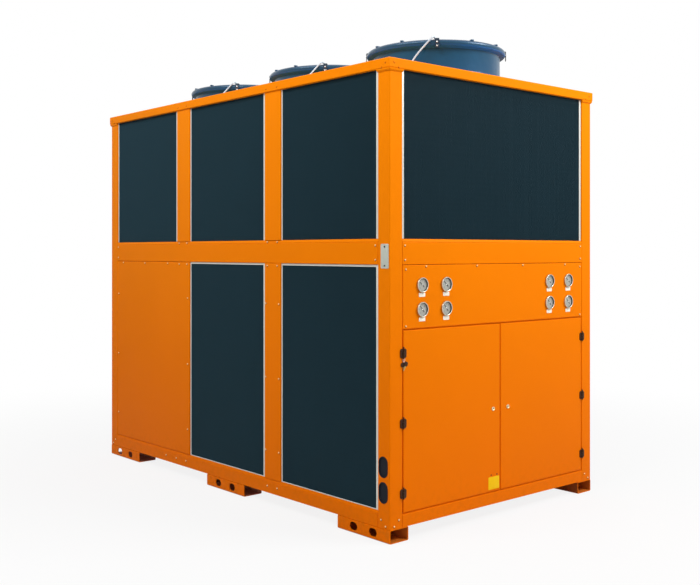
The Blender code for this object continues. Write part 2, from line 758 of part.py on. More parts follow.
def smooth_route(points, steps):
    """A smooth curve through the points, read off at equal steps between each pair."""
    ends = [points[0] * 2 - points[1]] + points + [points[-1] * 2 - points[-2]]
    route = []
    for a, b, c, d in zip(ends, ends[1:], ends[2:], ends[3:]):
        for i in range(steps):
            t = i / steps
            route.append(0.5 * (2 * b + (c - a) * t + (2 * a - 5 * b + 4 * c - d) * t ** 2
                                + (3 * b - a - 3 * c + d) * t ** 3))
    return route + [points[-1]]


def cable(name, centre, material):
    """Round cable, a curve with a bevel and closed ends."""
    curve = bpy.data.curves.new(name, "CURVE")
    curve.dimensions = "3D"
    curve.bevel_depth = CABLE_RADIUS
    curve.bevel_resolution = 1
    curve.use_fill_caps = True
    route = smooth_route(cable_route(), CABLE_STEPS)
    spline = curve.splines.new("POLY")
    spline.points.add(len(route) - 1)
    for place, point in zip(spline.points, route):
        place.co = (*(centre + point), 1.0)
    curve.materials.append(material)
    item = bpy.data.objects.new(name, curve)
    bpy.context.collection.objects.link(item)
    return item


def fans(materials):
    for place_name, centre in fan_places().items():
        on_deck = centre + Vector((0.0, 0.0, ROOF_TOP))
        cowl(f"fan_{place_name}_cowl", on_deck, materials["cowl"])
        guard(f"fan_{place_name}_guard", on_deck, materials["guard"])
        impeller(f"fan_{place_name}_impeller", on_deck, materials["impeller"])
        cable(f"fan_{place_name}_cable", on_deck, materials["cable"])


def shade_round_pieces():
    """Shades the turned pieces smooth, with sharp edges kept."""
    for item in bpy.data.objects:
        if item.type == "MESH" and item.name.startswith("fan_"):
            item.data.shade_smooth()
            item.data.set_sharp_from_angle(angle=math.radians(35.0))


def main():
    clear_scene()
    materials = {
        "paint": finish("orange_paint", (0.87, 0.22, 0.002), 0.38, 0.0),
        "inner": finish("galvanised_sheet", (0.55, 0.57, 0.56), 0.45, 0.9),
        "fins": finish("coated_fins", (0.014, 0.028, 0.037), 0.60, 0.3),
        "cowl": finish("cowl_enamel", (0.022, 0.055, 0.090), 0.22, 0.0),
        "guard": finish("guard_wire", (0.020, 0.024, 0.030), 0.40, 0.2),
        "impeller": finish("impeller_black", (0.015, 0.017, 0.020), 0.45, 0.1),
        "cable": finish("cable_sheath", (0.62, 0.64, 0.66), 0.50, 0.0),
    }
    paint = materials["paint"]
    base_frame(paint)
    feet(paint)
    corner_posts(paint)
    mid_posts(paint)
    mid_rails(paint)
    roof(paint)
    plenum_floor(materials["inner"])
    coils(materials["fins"])
    fixed_panels(paint)
    gauge_panel(paint)
    door("door_left", False, paint)
    door("door_right", True, paint)
    control_box(materials["inner"])
    fans(materials)
    shade_round_pieces()


main()
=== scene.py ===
"""Looks of an air-cooled industrial heat pump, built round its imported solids.

Lengths are in metres. +X runs across the cabinet, +Y along it and away from the doors, +Z up.
On a wall of the cabinet, u runs along it from its left or front corner, z is the height and out
is how far a point stands proud of the wall.
"""

import math

import bmesh
import bpy
import numpy as np
from bpy.props import FloatProperty, FloatVectorProperty, IntProperty, PointerProperty
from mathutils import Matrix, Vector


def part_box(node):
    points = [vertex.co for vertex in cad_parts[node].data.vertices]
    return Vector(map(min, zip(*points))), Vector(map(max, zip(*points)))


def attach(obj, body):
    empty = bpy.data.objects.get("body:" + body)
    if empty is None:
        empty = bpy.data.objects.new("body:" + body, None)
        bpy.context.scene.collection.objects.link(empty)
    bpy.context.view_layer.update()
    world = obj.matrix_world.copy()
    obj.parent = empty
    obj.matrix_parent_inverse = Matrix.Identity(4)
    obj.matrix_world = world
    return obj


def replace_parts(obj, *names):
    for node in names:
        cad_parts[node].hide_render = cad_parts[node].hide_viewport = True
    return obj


bl_info = {
    "name": "Industrial Heat Pump Looks",
    "version": (1, 0, 0),
    "blender": (4, 5, 0),
    "location": "View3D > Sidebar > Heat Pump",
    "description": "Builds the sheet metal, coils, fans, fittings and finishes of a heat pump",
    "category": "Object",
}

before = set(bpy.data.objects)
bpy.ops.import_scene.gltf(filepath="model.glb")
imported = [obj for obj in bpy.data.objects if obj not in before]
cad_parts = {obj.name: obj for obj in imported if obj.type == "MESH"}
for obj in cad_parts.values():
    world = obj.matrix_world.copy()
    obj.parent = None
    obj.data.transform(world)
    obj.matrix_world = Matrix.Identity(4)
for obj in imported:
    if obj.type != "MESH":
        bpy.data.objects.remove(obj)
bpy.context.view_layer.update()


# Sizes read from the solids

def corners(node):
    """Lowest and highest corner of a solid."""
    low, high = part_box(node)
    return np.array(low), np.array(high)


POST_LOW, POST_HIGH = corners("corner_post_back_left")
FLOOR_LOW, FLOOR_HIGH = corners("plenum_floor")
ROOF_LOW, ROOF_HIGH = corners("roof")
COWL_LOW, COWL_HIGH = corners("fan_middle_cowl")
HALF_WIDTH = -POST_LOW[0]
HALF_LENGTH = POST_HIGH[1]
BASE = POST_LOW[2]
POST_TOP = POST_HIGH[2]
POST = POST_HIGH[0] - POST_LOW[0]
SHEET = FLOOR_HIGH[2] - FLOOR_LOW[2]
DECK = COWL_LOW[2] - 0.0003
ROOF_BOTTOM = ROOF_LOW[2]
RAIL_LOW = corners("mid_rail_left")[0][2]

# Sizes of the fittings, which the solids only hint at

GAP = 0.0003
WELD = 0.00001
SHARP = 35.0
FOLD = 0.0026
TIGHT_FOLD = 0.0017
POST_LIP = 0.022
MID_POST_DEPTH = 0.060
RAIL_DEPTH = 0.074
SILL_DEPTH = 0.066
END_SILL_DEPTH = 0.020
PANEL_DEPTH = 0.020
ROOF_FLANGE = 0.074
CAP_OUT = ROOF_HIGH[0] - HALF_WIDTH - 0.0024
SEAM = 0.0012
FOOT_WALL = 0.004
FOOT_CORNERS = (0.006, 0.003)
SLOT_LENGTH = 0.050
SLOT_HEIGHT = 0.036
SLOT_OFFSET = 0.063
ENTRY_SIZE = (0.049, 0.084)
ENTRY_LEVELS = (0.212, 0.321)
ENTRY_U = 0.040
COIL_SETBACK = 0.008
FIN_SETBACK = 0.0115
SIDE_STRIPS = (0.016, 0.008)
CROSS_STRIPS = (0.004, 0.010)
END_STRIP = 0.014
HINGE_AXIS = (0.0775, 0.005)
HINGE_LEVELS = (0.803, 0.503, 0.203)
HINGE_HEIGHT = 0.040
HINGE_LEAF = 0.0175
KNUCKLE = 0.0045
KNUCKLE_PLAY = 0.0005
PIN_END = 0.0030
LOCK_U = 0.0525
LOCK_LEVEL = 0.505
KEY_LEVEL = 0.7740
KEY_RING = (0.0055, 0.0082)
STICKER_U = (0.630, 0.706)
STICKER_Z = (0.130, 0.188)
PLATE_U = (0.0060, 0.0550)
PLATE_Z = (1.166, 1.271)
GAUGE_OFFSETS = (0.370, 0.522)
GAUGE_LEVELS = (1.093, 0.9865)
GAUGE_RADIUS = 0.033
DIAL_OUT = 0.0022
TAG_DROP = 0.0430


def matched(*values):
    """Measures of a point as arrays of one shape."""
    return np.broadcast_arrays(*(np.asarray(value, float) for value in values))


class Wall:
    """One wall of the cabinet, on which points are given by u, z and out."""

    def __init__(self, corner, along, outward):
        self.corner = np.array(corner, float)
        self.along = np.array(along, float)
        self.outward = np.array(outward, float)
        self.length = 2 * (HALF_WIDTH if along[0] else HALF_LENGTH)

    def place(self, u, z, out):
        """World points of u, z and out: corner plus u along the wall plus out away from it."""
        u, z, out = matched(u, z, out)
        flat = self.corner + u[..., None] * self.along + out[..., None] * self.outward
        return np.concatenate([flat, z[..., None]], axis=-1)

    def about(self, u, z):
        """The same, measured from one point of the wall."""
        return lambda a, b, c: self.place(u + a, z + b, c)

    def upright(self):
        """Takes a plan section (u, out) and carries it upwards."""
        return lambda a, b, c: self.place(a, c, b)

    def lengthwise(self):
        """Takes a section (out, z) and carries it along the wall."""
        return lambda a, b, c: self.place(c, b, a)

    def span(self, node):
        """Where a solid lies on the wall: u from and to, z from and to."""
        low, high = corners(node)
        u = sorted((point[:2] - self.corner) @ self.along for point in (low, high))
        return u[0], u[1], low[2], high[2]


WALLS = {
    "front": Wall((-HALF_WIDTH, -HALF_LENGTH), (1, 0), (0, -1)),
    "back": Wall((-HALF_WIDTH, HALF_LENGTH), (1, 0), (0, 1)),
    "left": Wall((-HALF_WIDTH, -HALF_LENGTH), (0, 1), (-1, 0)),
    "right": Wall((HALF_WIDTH, -HALF_LENGTH), (0, 1), (1, 0)),
}
PLACES = ("front", "middle", "back")
CORNERS = [(end, hand, side_x, side_y) for end, side_y in (("front", -1), ("back", 1))
           for hand, side_x in (("left", -1), ("right", 1))]

def about_point(centre):
    """Places level points (x, y) and a height from a centre."""
    def place(a, b, c):
        a, b, c = matched(a, b, c)
        return np.stack([a, b, c], axis=-1) + np.asarray(centre, float)
    return place


def fan_centre(name):
    """Middle of a fan on the roof's deck."""
    low, high = corners(f"fan_{name}_cowl")
    return np.array([(low[0] + high[0]) / 2, (low[1] + high[1]) / 2, DECK])


# Patches: arrays of points with their faces

def grid_faces(rows, columns, close_rows=False, close_columns=False):
    """Quads between each point of a grid and its next neighbours along both ways."""
    i = np.arange(rows if close_rows else rows - 1)
    j = np.arange(columns if close_columns else columns - 1)
    i, j = np.meshgrid(i, j, indexing="ij")
    next_i, next_j = (i + 1) % rows, (j + 1) % columns
    quads = [i * columns + j, i * columns + next_j, next_i * columns + next_j, next_i * columns + j]
    return np.stack(quads, axis=-1).reshape(-1, 4)


def surface(points, close_rows=False, close_columns=False):
    """Patch over a grid of points."""
    rows, columns = points.shape[:2]
    return points.reshape(-1, 3), [grid_faces(rows, columns, close_rows, close_columns)]


def lid(ring):
    """Patch of one flat face inside a ring of points."""
    return ring, [np.arange(len(ring))[None, :]]


def joined(patches):
    """Several patches as one list of points and one of faces."""
    points, faces, start = [], [], 0
    for patch_points, patch_faces in patches:
        points.append(patch_points)
        faces.extend(face + start for face in patch_faces)
        start += len(patch_points)
    return np.concatenate(points), faces


def mesh_of(name, patches):
    """Mesh with all the points and faces of the patches."""
    points, faces = joined(patches)
    sizes = np.concatenate([np.full(len(face), face.shape[1]) for face in faces])
    loops = np.concatenate([face.ravel() for face in faces])
    mesh = bpy.data.meshes.new(name)
    mesh.vertices.add(len(points))
    mesh.vertices.foreach_set("co", points.ravel())
    mesh.loops.add(len(loops))
    mesh.loops.foreach_set("vertex_index", loops)
    mesh.polygons.add(len(sizes))
    mesh.polygons.foreach_set("loop_start", np.concatenate([[0], np.cumsum(sizes)[:-1]]))
    mesh.update(calc_edges=True)
    return mesh


def weld(mesh, outward=None):
    """Merges double points and turns the faces outwards, on an open sheet towards outward."""
    bm = bmesh.new()
    bm.from_mesh(mesh)
    bmesh.ops.remove_doubles(bm, verts=bm.verts, dist=WELD)
    bmesh.ops.recalc_face_normals(bm, faces=bm.faces)
    if outward is not None:
        facing = sum(face.calc_area() * face.normal.dot(outward) for face in bm.faces)
        if facing < 0:
            bmesh.ops.reverse_faces(bm, faces=bm.faces)
    bm.to_mesh(mesh)
    bm.free()


def add_piece(name, patches, material, body="cabinet", outward=None, smooth=SHARP, even=False):
    """One piece of the model, riding on a body; even keeps flat faces flat beside round ones."""
    mesh = mesh_of(name, patches)
    weld(mesh, outward)
    round_off(mesh, smooth)
    mesh.materials.append(material)
    piece = add_object(name, mesh)
    if even:
        keep_flat(piece)
    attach(piece, body)
    return piece


def add_object(name, data):
    """A new object in the scene."""
    made = bpy.data.objects.new(name, data)
    bpy.context.scene.collection.objects.link(made)
    return made


def round_off(mesh, degrees):
    """Shades a mesh smoothly, apart from edges that bend by more than an angle."""
    mesh.shade_smooth()
    mesh.set_sharp_from_angle(angle=math.radians(degrees))


def keep_flat(piece):
    """Weights the shading by face area, so that a large flat face stays flat."""
    step = piece.modifiers.new("flat_faces", "WEIGHTED_NORMAL")
    step.keep_sharp = True
    step.weight = 100


def thicken(piece, thickness):
    """Gives a sheet its thickness on the side away from its faces."""
    step = piece.modifiers.new("sheet", "SOLIDIFY")
    step.thickness = thickness
    step.offset = -1.0


def settle(piece):
    """Replaces a piece's mesh by the one that its modifiers make."""
    bpy.context.view_layer.update()
    evaluated = piece.evaluated_get(bpy.context.evaluated_depsgraph_get())
    old = piece.data
    mesh = bpy.data.meshes.new_from_object(evaluated)
    piece.modifiers.clear()
    piece.data = mesh
    bpy.data.meshes.remove(old)


def pierce(piece, patches):
    """Cuts closed shapes out of a piece."""
    mesh = mesh_of("cutter", patches)
    weld(mesh)
    cutter = add_object("cutter", mesh)
    step = piece.modifiers.new("holes", "BOOLEAN")
    step.operation = "DIFFERENCE"
    step.solver = "EXACT"
    step.object = cutter
    settle(piece)
    bpy.data.objects.remove(cutter, do_unlink=True)
    round_off(piece.data, SHARP)


# Shapes

def arc(centre, radius, start, end, steps):
    """Points of a circle's arc between two angles in degrees."""
    turn = np.radians(np.linspace(start, end, steps + 1))
    return np.stack([centre[0] + radius * np.cos(turn), centre[1] + radius * np.sin(turn)], axis=1)


def bend(centre, radius, start, end, steps):
    """The same points as a list, to go on with a profile."""
    return [tuple(point) for point in arc(centre, radius, start, end, steps)]


def rounded_rectangle(a, b, radius, steps=4):
    """Outline of a rectangle whose corners are quarter circles."""
    middles = ((a[1], b[1], -1, -1), (a[0], b[1], 1, -1), (a[0], b[0], 1, 1), (a[1], b[0], -1, 1))
    arcs = [arc((x + i * radius, y + j * radius), radius, 90 * k, 90 * k + 90, steps)
            for k, (x, y, i, j) in enumerate(middles)]
    return np.concatenate(arcs)


def obround(centre, width, height, steps=10):
    """Outline of a slot: two half circles joined by straight sides."""
    half = min(width, height) / 2
    a = (centre[0] - width / 2, centre[0] + width / 2)
    b = (centre[1] - height / 2, centre[1] + height / 2)
    return rounded_rectangle(a, b, half * 0.9999, steps)


def tower(rings):
    """Closed rings one after the other, joined by a skin, with both ends shut."""
    return [surface(np.stack(rings), close_columns=True), lid(rings[0]), lid(rings[-1])]


def prism(outline, place, start, end):
    """An outline carried from start to end along the third way of place, with both ends shut."""
    a, b = np.asarray(outline, float).T
    return tower([place(a, b, start), place(a, b, end)])


def lathe(profile, segments, place, closed=False):
    """A profile of (radius, height) turned once about the third way of place."""
    radius, height = np.asarray(profile, float).T
    turn = np.linspace(0, 2 * np.pi, segments, endpoint=False)
    points = place(radius[:, None] * np.cos(turn), radius[:, None] * np.sin(turn), height[:, None])
    return [surface(points, close_rows=closed, close_columns=True)]


def drawn(place, a, b, corner, profile, shut_start=False, shut_end=True):
    """A rounded rectangle drawn in by an inset while it is carried to a height: (inset, height)."""
    rings = []
    for inset, height in profile:
        outline = rounded_rectangle((a[0] + inset, a[1] - inset), (b[0] + inset, b[1] - inset),
                                    max(corner - inset, WELD * 20))
        rings.append(place(*outline.T, height))
    patches = [surface(np.stack(rings), close_columns=True)]
    if shut_start:
        patches.append(lid(rings[0]))
    if shut_end:
        patches.append(lid(rings[-1]))
    return patches


def eased(start, end, radius, steps=3):
    """Profile of a plate's edge: straight up, then a quarter circle in to its face."""
    turn = np.linspace(0, np.pi / 2, steps + 1)
    easing = [(radius * (1 - math.cos(t)), end - radius * (1 - math.sin(t))) for t in turn]
    return [(0.0, start)] + easing


def plate(place, a, b, heights, corner, edge):
    """A closed plate with rounded corners and an eased front edge."""
    return drawn(place, a, b, corner, eased(*heights, edge), shut_start=True)


def folded(line, radius=FOLD, steps=4, thickness=SHEET):
    """Outline of a bent sheet: its middle line moved half a thickness to each side.

    Each corner of the line becomes an arc of the fold's radius, which both sides follow.
    """
    line = np.asarray(line, float)
    ahead = np.diff(line, axis=0)
    ahead /= np.linalg.norm(ahead, axis=1)[:, None]
    normal = np.stack([-ahead[:, 1], ahead[:, 0]], axis=1)
    half = thickness / 2
    left, right = [line[:1] + normal[:1] * half], [line[:1] - normal[:1] * half]
    for i in range(1, len(line) - 1):
        hand = np.sign(ahead[i - 1][0] * ahead[i][1] - ahead[i - 1][1] * ahead[i][0])
        turn = math.acos(float(np.clip(ahead[i - 1] @ ahead[i], -1, 1)))
        middle = line[i] - ahead[i - 1] * radius * math.tan(turn / 2) + normal[i - 1] * radius * hand
        start = math.degrees(math.atan2(*(-hand * normal[i - 1])[::-1]))
        end = start + hand * math.degrees(turn)
        left.append(arc(middle, radius - hand * half, start, end, steps))
        right.append(arc(middle, radius + hand * half, start, end, steps))
    left.append(line[-1:] + normal[-1:] * half)
    right.append(line[-1:] - normal[-1:] * half)
    return np.concatenate(left + [np.concatenate(right)[::-1]])


def channel(width, depth):
    """Middle line of a channel's sheet: a flange, the face and a flange, as (across, inwards)."""
    half = SHEET / 2
    return [(half, depth), (half, half), (width - half, half), (width - half, depth)]


def tube(path, radius, sides=10):
    """A round tube: circles square to the path, in the plane of its side and upward directions."""
    path = np.asarray(path, float)
    ahead = np.gradient(path, axis=0)
    ahead /= np.linalg.norm(ahead, axis=1)[:, None]
    spread = np.linalg.svd(path - path.mean(axis=0))[2][2]
    side = np.cross(ahead, np.cross(spread, ahead))
    side /= np.linalg.norm(side, axis=1)[:, None]
    up = np.cross(side, ahead)
    turn = np.linspace(0, 2 * np.pi, sides, endpoint=False)
    around = side[:, None] * np.cos(turn)[:, None] + up[:, None] * np.sin(turn)[:, None]
    return tower(path[:, None] + radius * around)


def smooth_path(points, steps):
    """A smooth curve through given points, as a cubic between each pair of them."""
    p = np.asarray(points, float)
    p = np.concatenate([[2 * p[0] - p[1]], p, [2 * p[-1] - p[-2]]])
    a, b, c, d = p[:-3, None], p[1:-2, None], p[2:-1, None], p[3:, None]
    t = (np.arange(steps) / steps)[None, :, None]
    curve = 0.5 * (2 * b + (c - a) * t + (2 * a - 5 * b + 4 * c - d) * t ** 2
                   + (3 * b - a - 3 * c + d) * t ** 3)
    return np.concatenate([curve.reshape(-1, 3), p[-2:-1]])


# Shader maths

class Value:
    """A socket of a node tree, on which sums are written as ordinary expressions."""

    def __init__(self, nodes, socket):
        self.nodes = nodes
        self.socket = socket

    def sum(self, operation, *values):
        return self.nodes.node("ShaderNodeMath", {"operation": operation}, *values)

    def __add__(self, other):
        return self.sum("ADD", self, other)

    def __sub__(self, other):
        return self.sum("SUBTRACT", self, other)

    def __rsub__(self, other):
        return self.sum("SUBTRACT", other, self)

    def __mul__(self, other):
        return self.sum("MULTIPLY", self, other)

    def __truediv__(self, other):
        return self.sum("DIVIDE", self, other)

    def __pow__(self, other):
        return self.sum("POWER", self, other)

    __radd__ = __add__
    __rmul__ = __mul__

    def size(self):
        return self.sum("ABSOLUTE", self)

    def wave(self):
        return self.sum("SINE", self)

    def larger(self, other):
        return self.sum("MAXIMUM", self, other)

    def band(self, start, end):
        """0 below start, 1 above end and a smooth step between."""
        settings = {"interpolation_type": "SMOOTHSTEP", "clamp": True}
        return self.nodes.node("ShaderNodeMapRange", settings, self, start, end, 0.0, 1.0)


class Nodes:
    """A node tree that is built node by node."""

    def __init__(self, tree):
        self.tree = tree

    def feed(self, socket, value):
        """Gives a socket a constant or a worked-out value."""
        if isinstance(value, Value):
            self.tree.links.new(value.socket, socket)
        else:
            socket.default_value = value

    def node(self, kind, settings, *values, output=0, **named):
        """One node: its type, its settings, then its sockets in order or by name."""
        made = self.tree.nodes.new(kind)
        for name, value in settings.items():
            setattr(made, name, value)
        for socket, value in zip(made.inputs, values):
            self.feed(socket, value)
        for name, value in named.items():
            self.feed(made.inputs[name.replace("_", " ").title()], value)
        return Value(self, made.outputs[output])

    def blend(self, share, first, second):
        """The first colour where share is 0 and the second where it is 1."""
        mix = self.node("ShaderNodeMix", {"data_type": "RGBA"}, output=2)
        for index, value in ((0, share), (6, first), (7, second)):
            if isinstance(value, tuple):
                value = (*value, 1.0)
            self.feed(mix.socket.node.inputs[index], value)
        return mix

    def white_seen(self, lit, glow_kind, fade=1.0):
        """A shader under a white glow, which the camera, a gloss or a glass sees.

        The fade is the share of white there.
        """
        rays = self.node("ShaderNodeLightPath", {}).socket.node.outputs
        camera, gloss, glass = (Value(self, rays[f"Is {ray} Ray"])
                                for ray in ("Camera", "Glossy", "Transmission"))
        glow = self.node(glow_kind, {}, color=(1.0, 1.0, 1.0, 1.0), strength=1.0)
        share = camera.larger(gloss.larger(glass)) * fade
        return self.node("ShaderNodeMixShader", {}, share, Value(self, lit.outputs[0]), glow)


class Finish(Nodes):
    """A material with one Principled shader."""

    def __init__(self, name, colour, roughness, metallic=0.0, **constants):
        self.material = bpy.data.materials.new(name)
        self.material.use_nodes = True
        self.material.diffuse_color = (*colour, 1.0)
        super().__init__(self.material.node_tree)
        self.shader = self.tree.nodes["Principled BSDF"]
        self.set("Base Color", (*colour, 1.0))
        self.set("Roughness", roughness)
        self.set("Metallic", metallic)
        for words, value in constants.items():
            self.set(words.replace("_", " ").title().replace("Ior", "IOR"), value)

    def set(self, socket, value):
        """Gives one of the shader's sockets a constant or a worked-out value."""
        self.feed(self.shader.inputs[socket], value)

    def place(self):
        return self.node("ShaderNodeTexCoord", {}, output=3)

    def stretched(self, scale, turn=(0.0, 0.0, 0.0)):
        """The object's own coordinates, turned and stretched."""
        return self.node("ShaderNodeMapping", {}, vector=self.place(), scale=scale, rotation=turn)

    def axis(self, index):
        return self.node("ShaderNodeSeparateXYZ", {}, self.place(), output=index)

    def facing(self, index):
        """One part of the surface's own direction, from -1 to 1."""
        direction = self.node("ShaderNodeTexCoord", {}, output=1)
        return self.node("ShaderNodeSeparateXYZ", {}, direction, output=index)

    def noise(self, scale, detail=3.0, roughness=0.55, place=None):
        """Cloudy noise from 0 to 1, with scale in clouds to the metre."""
        vector = place or self.place()
        return self.node("ShaderNodeTexNoise", {}, vector=vector, scale=scale, detail=detail,
                         roughness=roughness)

    def cells(self, scale):
        """Colour of random cells, with scale in cells to the metre."""
        return self.node("ShaderNodeTexVoronoi", {}, vector=self.place(), scale=scale, output=1)

    def bump(self, height, distance, strength=1.0, normal=None):
        """Normal of a surface raised by height times distance."""
        values = {"strength": strength, "distance": distance, "height": height}
        if normal is not None:
            values["normal"] = normal
        return self.node("ShaderNodeBump", {}, **values)


def shade(colour, amount):
    """A colour made lighter or darker by a factor."""
    return tuple(min(1.0, c * amount) for c in colour)


# Finishes

def paint_finish(name, looks, wear=1.0):
    """Powder coat: fine orange peel, soft clouds of tone, dust low down and rubbed spots, over a painted
    shade that darkens it towards the floor.
    """
    colour = tuple(looks.paint_colour)
    finish = Finish(name, colour, looks.paint_roughness, specular_ior_level=0.05,
                    specular_tint=(1.0, 0.40, 0.02, 1.0))
    clouds = finish.noise(2.2, 4.0)
    fine = finish.noise(38.0, 5.0)
    height = finish.axis(2)
    # Painted shade: the tone darkens from the coat's colour at the top towards the floor
    tone = finish.blend(height.band(-0.2, 2.1), tuple(looks.paint_low), colour)
    tone = finish.blend(clouds.band(0.35, 0.70) * 0.06, tone, (0.55, 0.12, 0.001))
    dust = (1 - height.band(0.02, 0.30)) * fine.band(0.40, 0.75) * 0.16 * wear
    tone = finish.blend(dust, tone, (0.38, 0.105, 0.010))
    rubbed = finish.noise(9.0, 6.0, 0.7).band(0.70, 0.78) * 0.08 * wear
    tone = finish.blend(rubbed, tone, shade(colour, 1.15))
    finish.set("Base Color", tone)
    finish.set("Roughness", looks.paint_roughness + clouds * 0.08 + dust * 0.25 - rubbed * 0.1)
    peel = finish.noise(420.0, 2.0)
    waves = finish.noise(1.7, 2.0)
    finish.set("Normal", finish.bump(peel, 0.00022, normal=finish.bump(waves, 0.012, 0.35)))
    return finish.material


def zinc_finish(name):
    """Galvanised sheet: spangle cells of slightly different tone, with fine drawing lines."""
    colour = (0.55, 0.57, 0.56)
    roughness = 0.42
    finish = Finish(name, colour, roughness, 0.85)
    grey = finish.node("ShaderNodeRGBToBW", {}, finish.cells(70.0))
    lines = finish.noise(6.0, 2.0, place=finish.stretched((1.0, 1.0, 60.0)))
    tone = finish.blend(grey * 0.5, shade(colour, 0.88), shade(colour, 1.10))
    finish.set("Base Color", finish.blend(lines.band(0.4, 0.7) * 0.2, tone, shade(colour, 0.75)))
    finish.set("Roughness", roughness - 0.08 + grey * 0.14 + lines * 0.06)
    finish.set("Normal", finish.bump(grey, 0.0002, 0.5))
    return finish.material


def strip_finish(name, looks):
    """Bright mill-finish casing strip with a faint grain along it."""
    colour = tuple(looks.strip_colour)
    finish = Finish(name, colour, 0.40, 0.15)
    grain = finish.noise(40.0, 3.0, place=finish.stretched((1.0, 1.0, 0.08)))
    stain = finish.noise(5.0, 4.0)
    tone = finish.blend(grain * 0.35, colour, shade(colour, 0.82))
    finish.set("Base Color", finish.blend(stain.band(0.55, 0.8) * 0.25, tone, shade(colour, 0.7)))
    finish.set("Roughness", 0.34 + grain * 0.16)
    finish.set("Normal", finish.bump(grain, 0.0002, 0.5))
    return finish.material


def fin_finish(name, looks):
    """Coated aluminium fins: rows of slits across them, paler tips and here and there dust."""
    colour = tuple(looks.fin_colour)
    finish = Finish(name, colour, 0.55, specular_ior_level=0.18)
    height = finish.axis(2)
    rows = (height * 2 * math.pi / looks.tube_pitch).wave() * 0.5 + 0.5
    clouds = finish.noise(3.0, 4.0)
    streaks = finish.noise(55.0, 2.0, place=finish.stretched((1.0, 1.0, 0.03)))
    tone = finish.blend(rows * 0.05, colour, shade(colour, 0.80))
    tone = finish.blend(clouds.band(0.45, 0.75) * 0.10, tone, shade(colour, 1.25))
    tone = finish.blend(streaks.band(0.62, 0.72) * 0.04, tone, shade(colour, 1.4))
    finish.set("Base Color", tone)
    finish.set("Roughness", 0.50 + clouds * 0.1)
    finish.set("Normal", finish.bump(rows, 0.0003, 0.2))
    return finish.material


def enamel_finish(name, looks):
    """Stove enamel on pressed steel: a glossy coat over soft dents, dull below, with painted light and
    shade in its colour.
    """
    colour = tuple(looks.cowl_colour)
    finish = Finish(name, colour, 0.30, specular_ior_level=0.30, specular_tint=(0.30, 0.60, 1.0, 1.0),
                    coat_roughness=0.08)
    clouds = finish.noise(6.0, 4.0)
    specks = finish.noise(160.0, 2.0)
    tone = finish.blend(clouds.band(0.35, 0.7) * 0.6, colour, shade(colour, 0.72))
    tone = finish.blend(specks.band(0.68, 0.74) * 0.25, tone, shade(colour, 2.2))
    # Painted light and shade: bluer low on the flank, where the orange deck lights it, and darker at the
    # lip and on faces that look up, which the lamps light most
    upward, height = finish.facing(2), finish.axis(2)
    under = (0 - upward).band(0.15, 0.85)
    foot = 1 - height.band(DECK + 0.04, DECK + 0.14)
    tone = finish.blend(foot * 0.4, tone, (0.010, 0.066, 0.170))
    tone = finish.blend(height.band(DECK + 0.135, DECK + 0.150) * 0.40, tone, (0.020, 0.048, 0.082))
    tone = finish.blend(upward.band(0.10, 0.70) * 0.50, tone, (0.044, 0.056, 0.090))
    # Painted light: faces that look down are lighter and bluer, as if lit from below, and they lose the
    # coat and are rougher
    finish.set("Base Color", finish.blend(under, tone, (0.026, 0.190, 0.580)))
    finish.set("Coat Weight", 0.22 - under * 0.22)
    finish.set("Roughness", 0.24 + clouds * 0.16 + under * 0.3)
    dents = finish.noise(9.0, 2.0)
    finish.set("Normal", finish.bump(specks, 0.0001, 0.6, normal=finish.bump(dents, 0.010, 0.30)))
    return finish.material


def dark_finish(name, colour, roughness, metallic=0.0, grain=260.0, gloss=0.5):
    """Plain dark coating, plastic or rubber with a fine texture."""
    finish = Finish(name, colour, roughness, metallic, specular_ior_level=gloss)
    fine = finish.noise(grain, 3.0)
    clouds = finish.noise(12.0, 3.0)
    tone = finish.blend(clouds.band(0.4, 0.7) * 0.5, colour, shade(colour, 1.5))
    finish.set("Base Color", tone)
    finish.set("Roughness", roughness - 0.06 + fine * 0.14)
    finish.set("Normal", finish.bump(fine, 0.0002, 0.6))
    return finish.material


def bright_finish(name, colour=(0.72, 0.71, 0.68), roughness=0.22, metallic=1.0):
    """Plated or stainless metal with fine scratches."""
    finish = Finish(name, colour, roughness, metallic)
    scratches = finish.noise(90.0, 4.0, place=finish.stretched((1.0, 6.0, 1.0), (0.3, 0.5, 0.2)))
    finish.set("Base Color", finish.blend(scratches.band(0.5, 0.8) * 0.5, colour, shade(colour, 0.7)))
    finish.set("Roughness", roughness + scratches.band(0.4, 0.8) * 0.18)
    finish.set("Normal", finish.bump(scratches, 0.0001, 0.5))
    return finish.material


def label_finish(name, colour, roughness, gloss=0.5):
    """Plain printed or painted face, slightly uneven and dusty."""
    finish = Finish(name, colour, roughness, specular_ior_level=gloss)
    clouds = finish.noise(45.0, 4.0)
    finish.set("Base Color", finish.blend(clouds.band(0.4, 0.8) * 0.35, colour, shade(colour, 0.86)))
    finish.set("Roughness", roughness + clouds * 0.12)
    finish.set("Normal", finish.bump(clouds, 0.0002, 0.4))
    return finish.material


FINISHES = {}


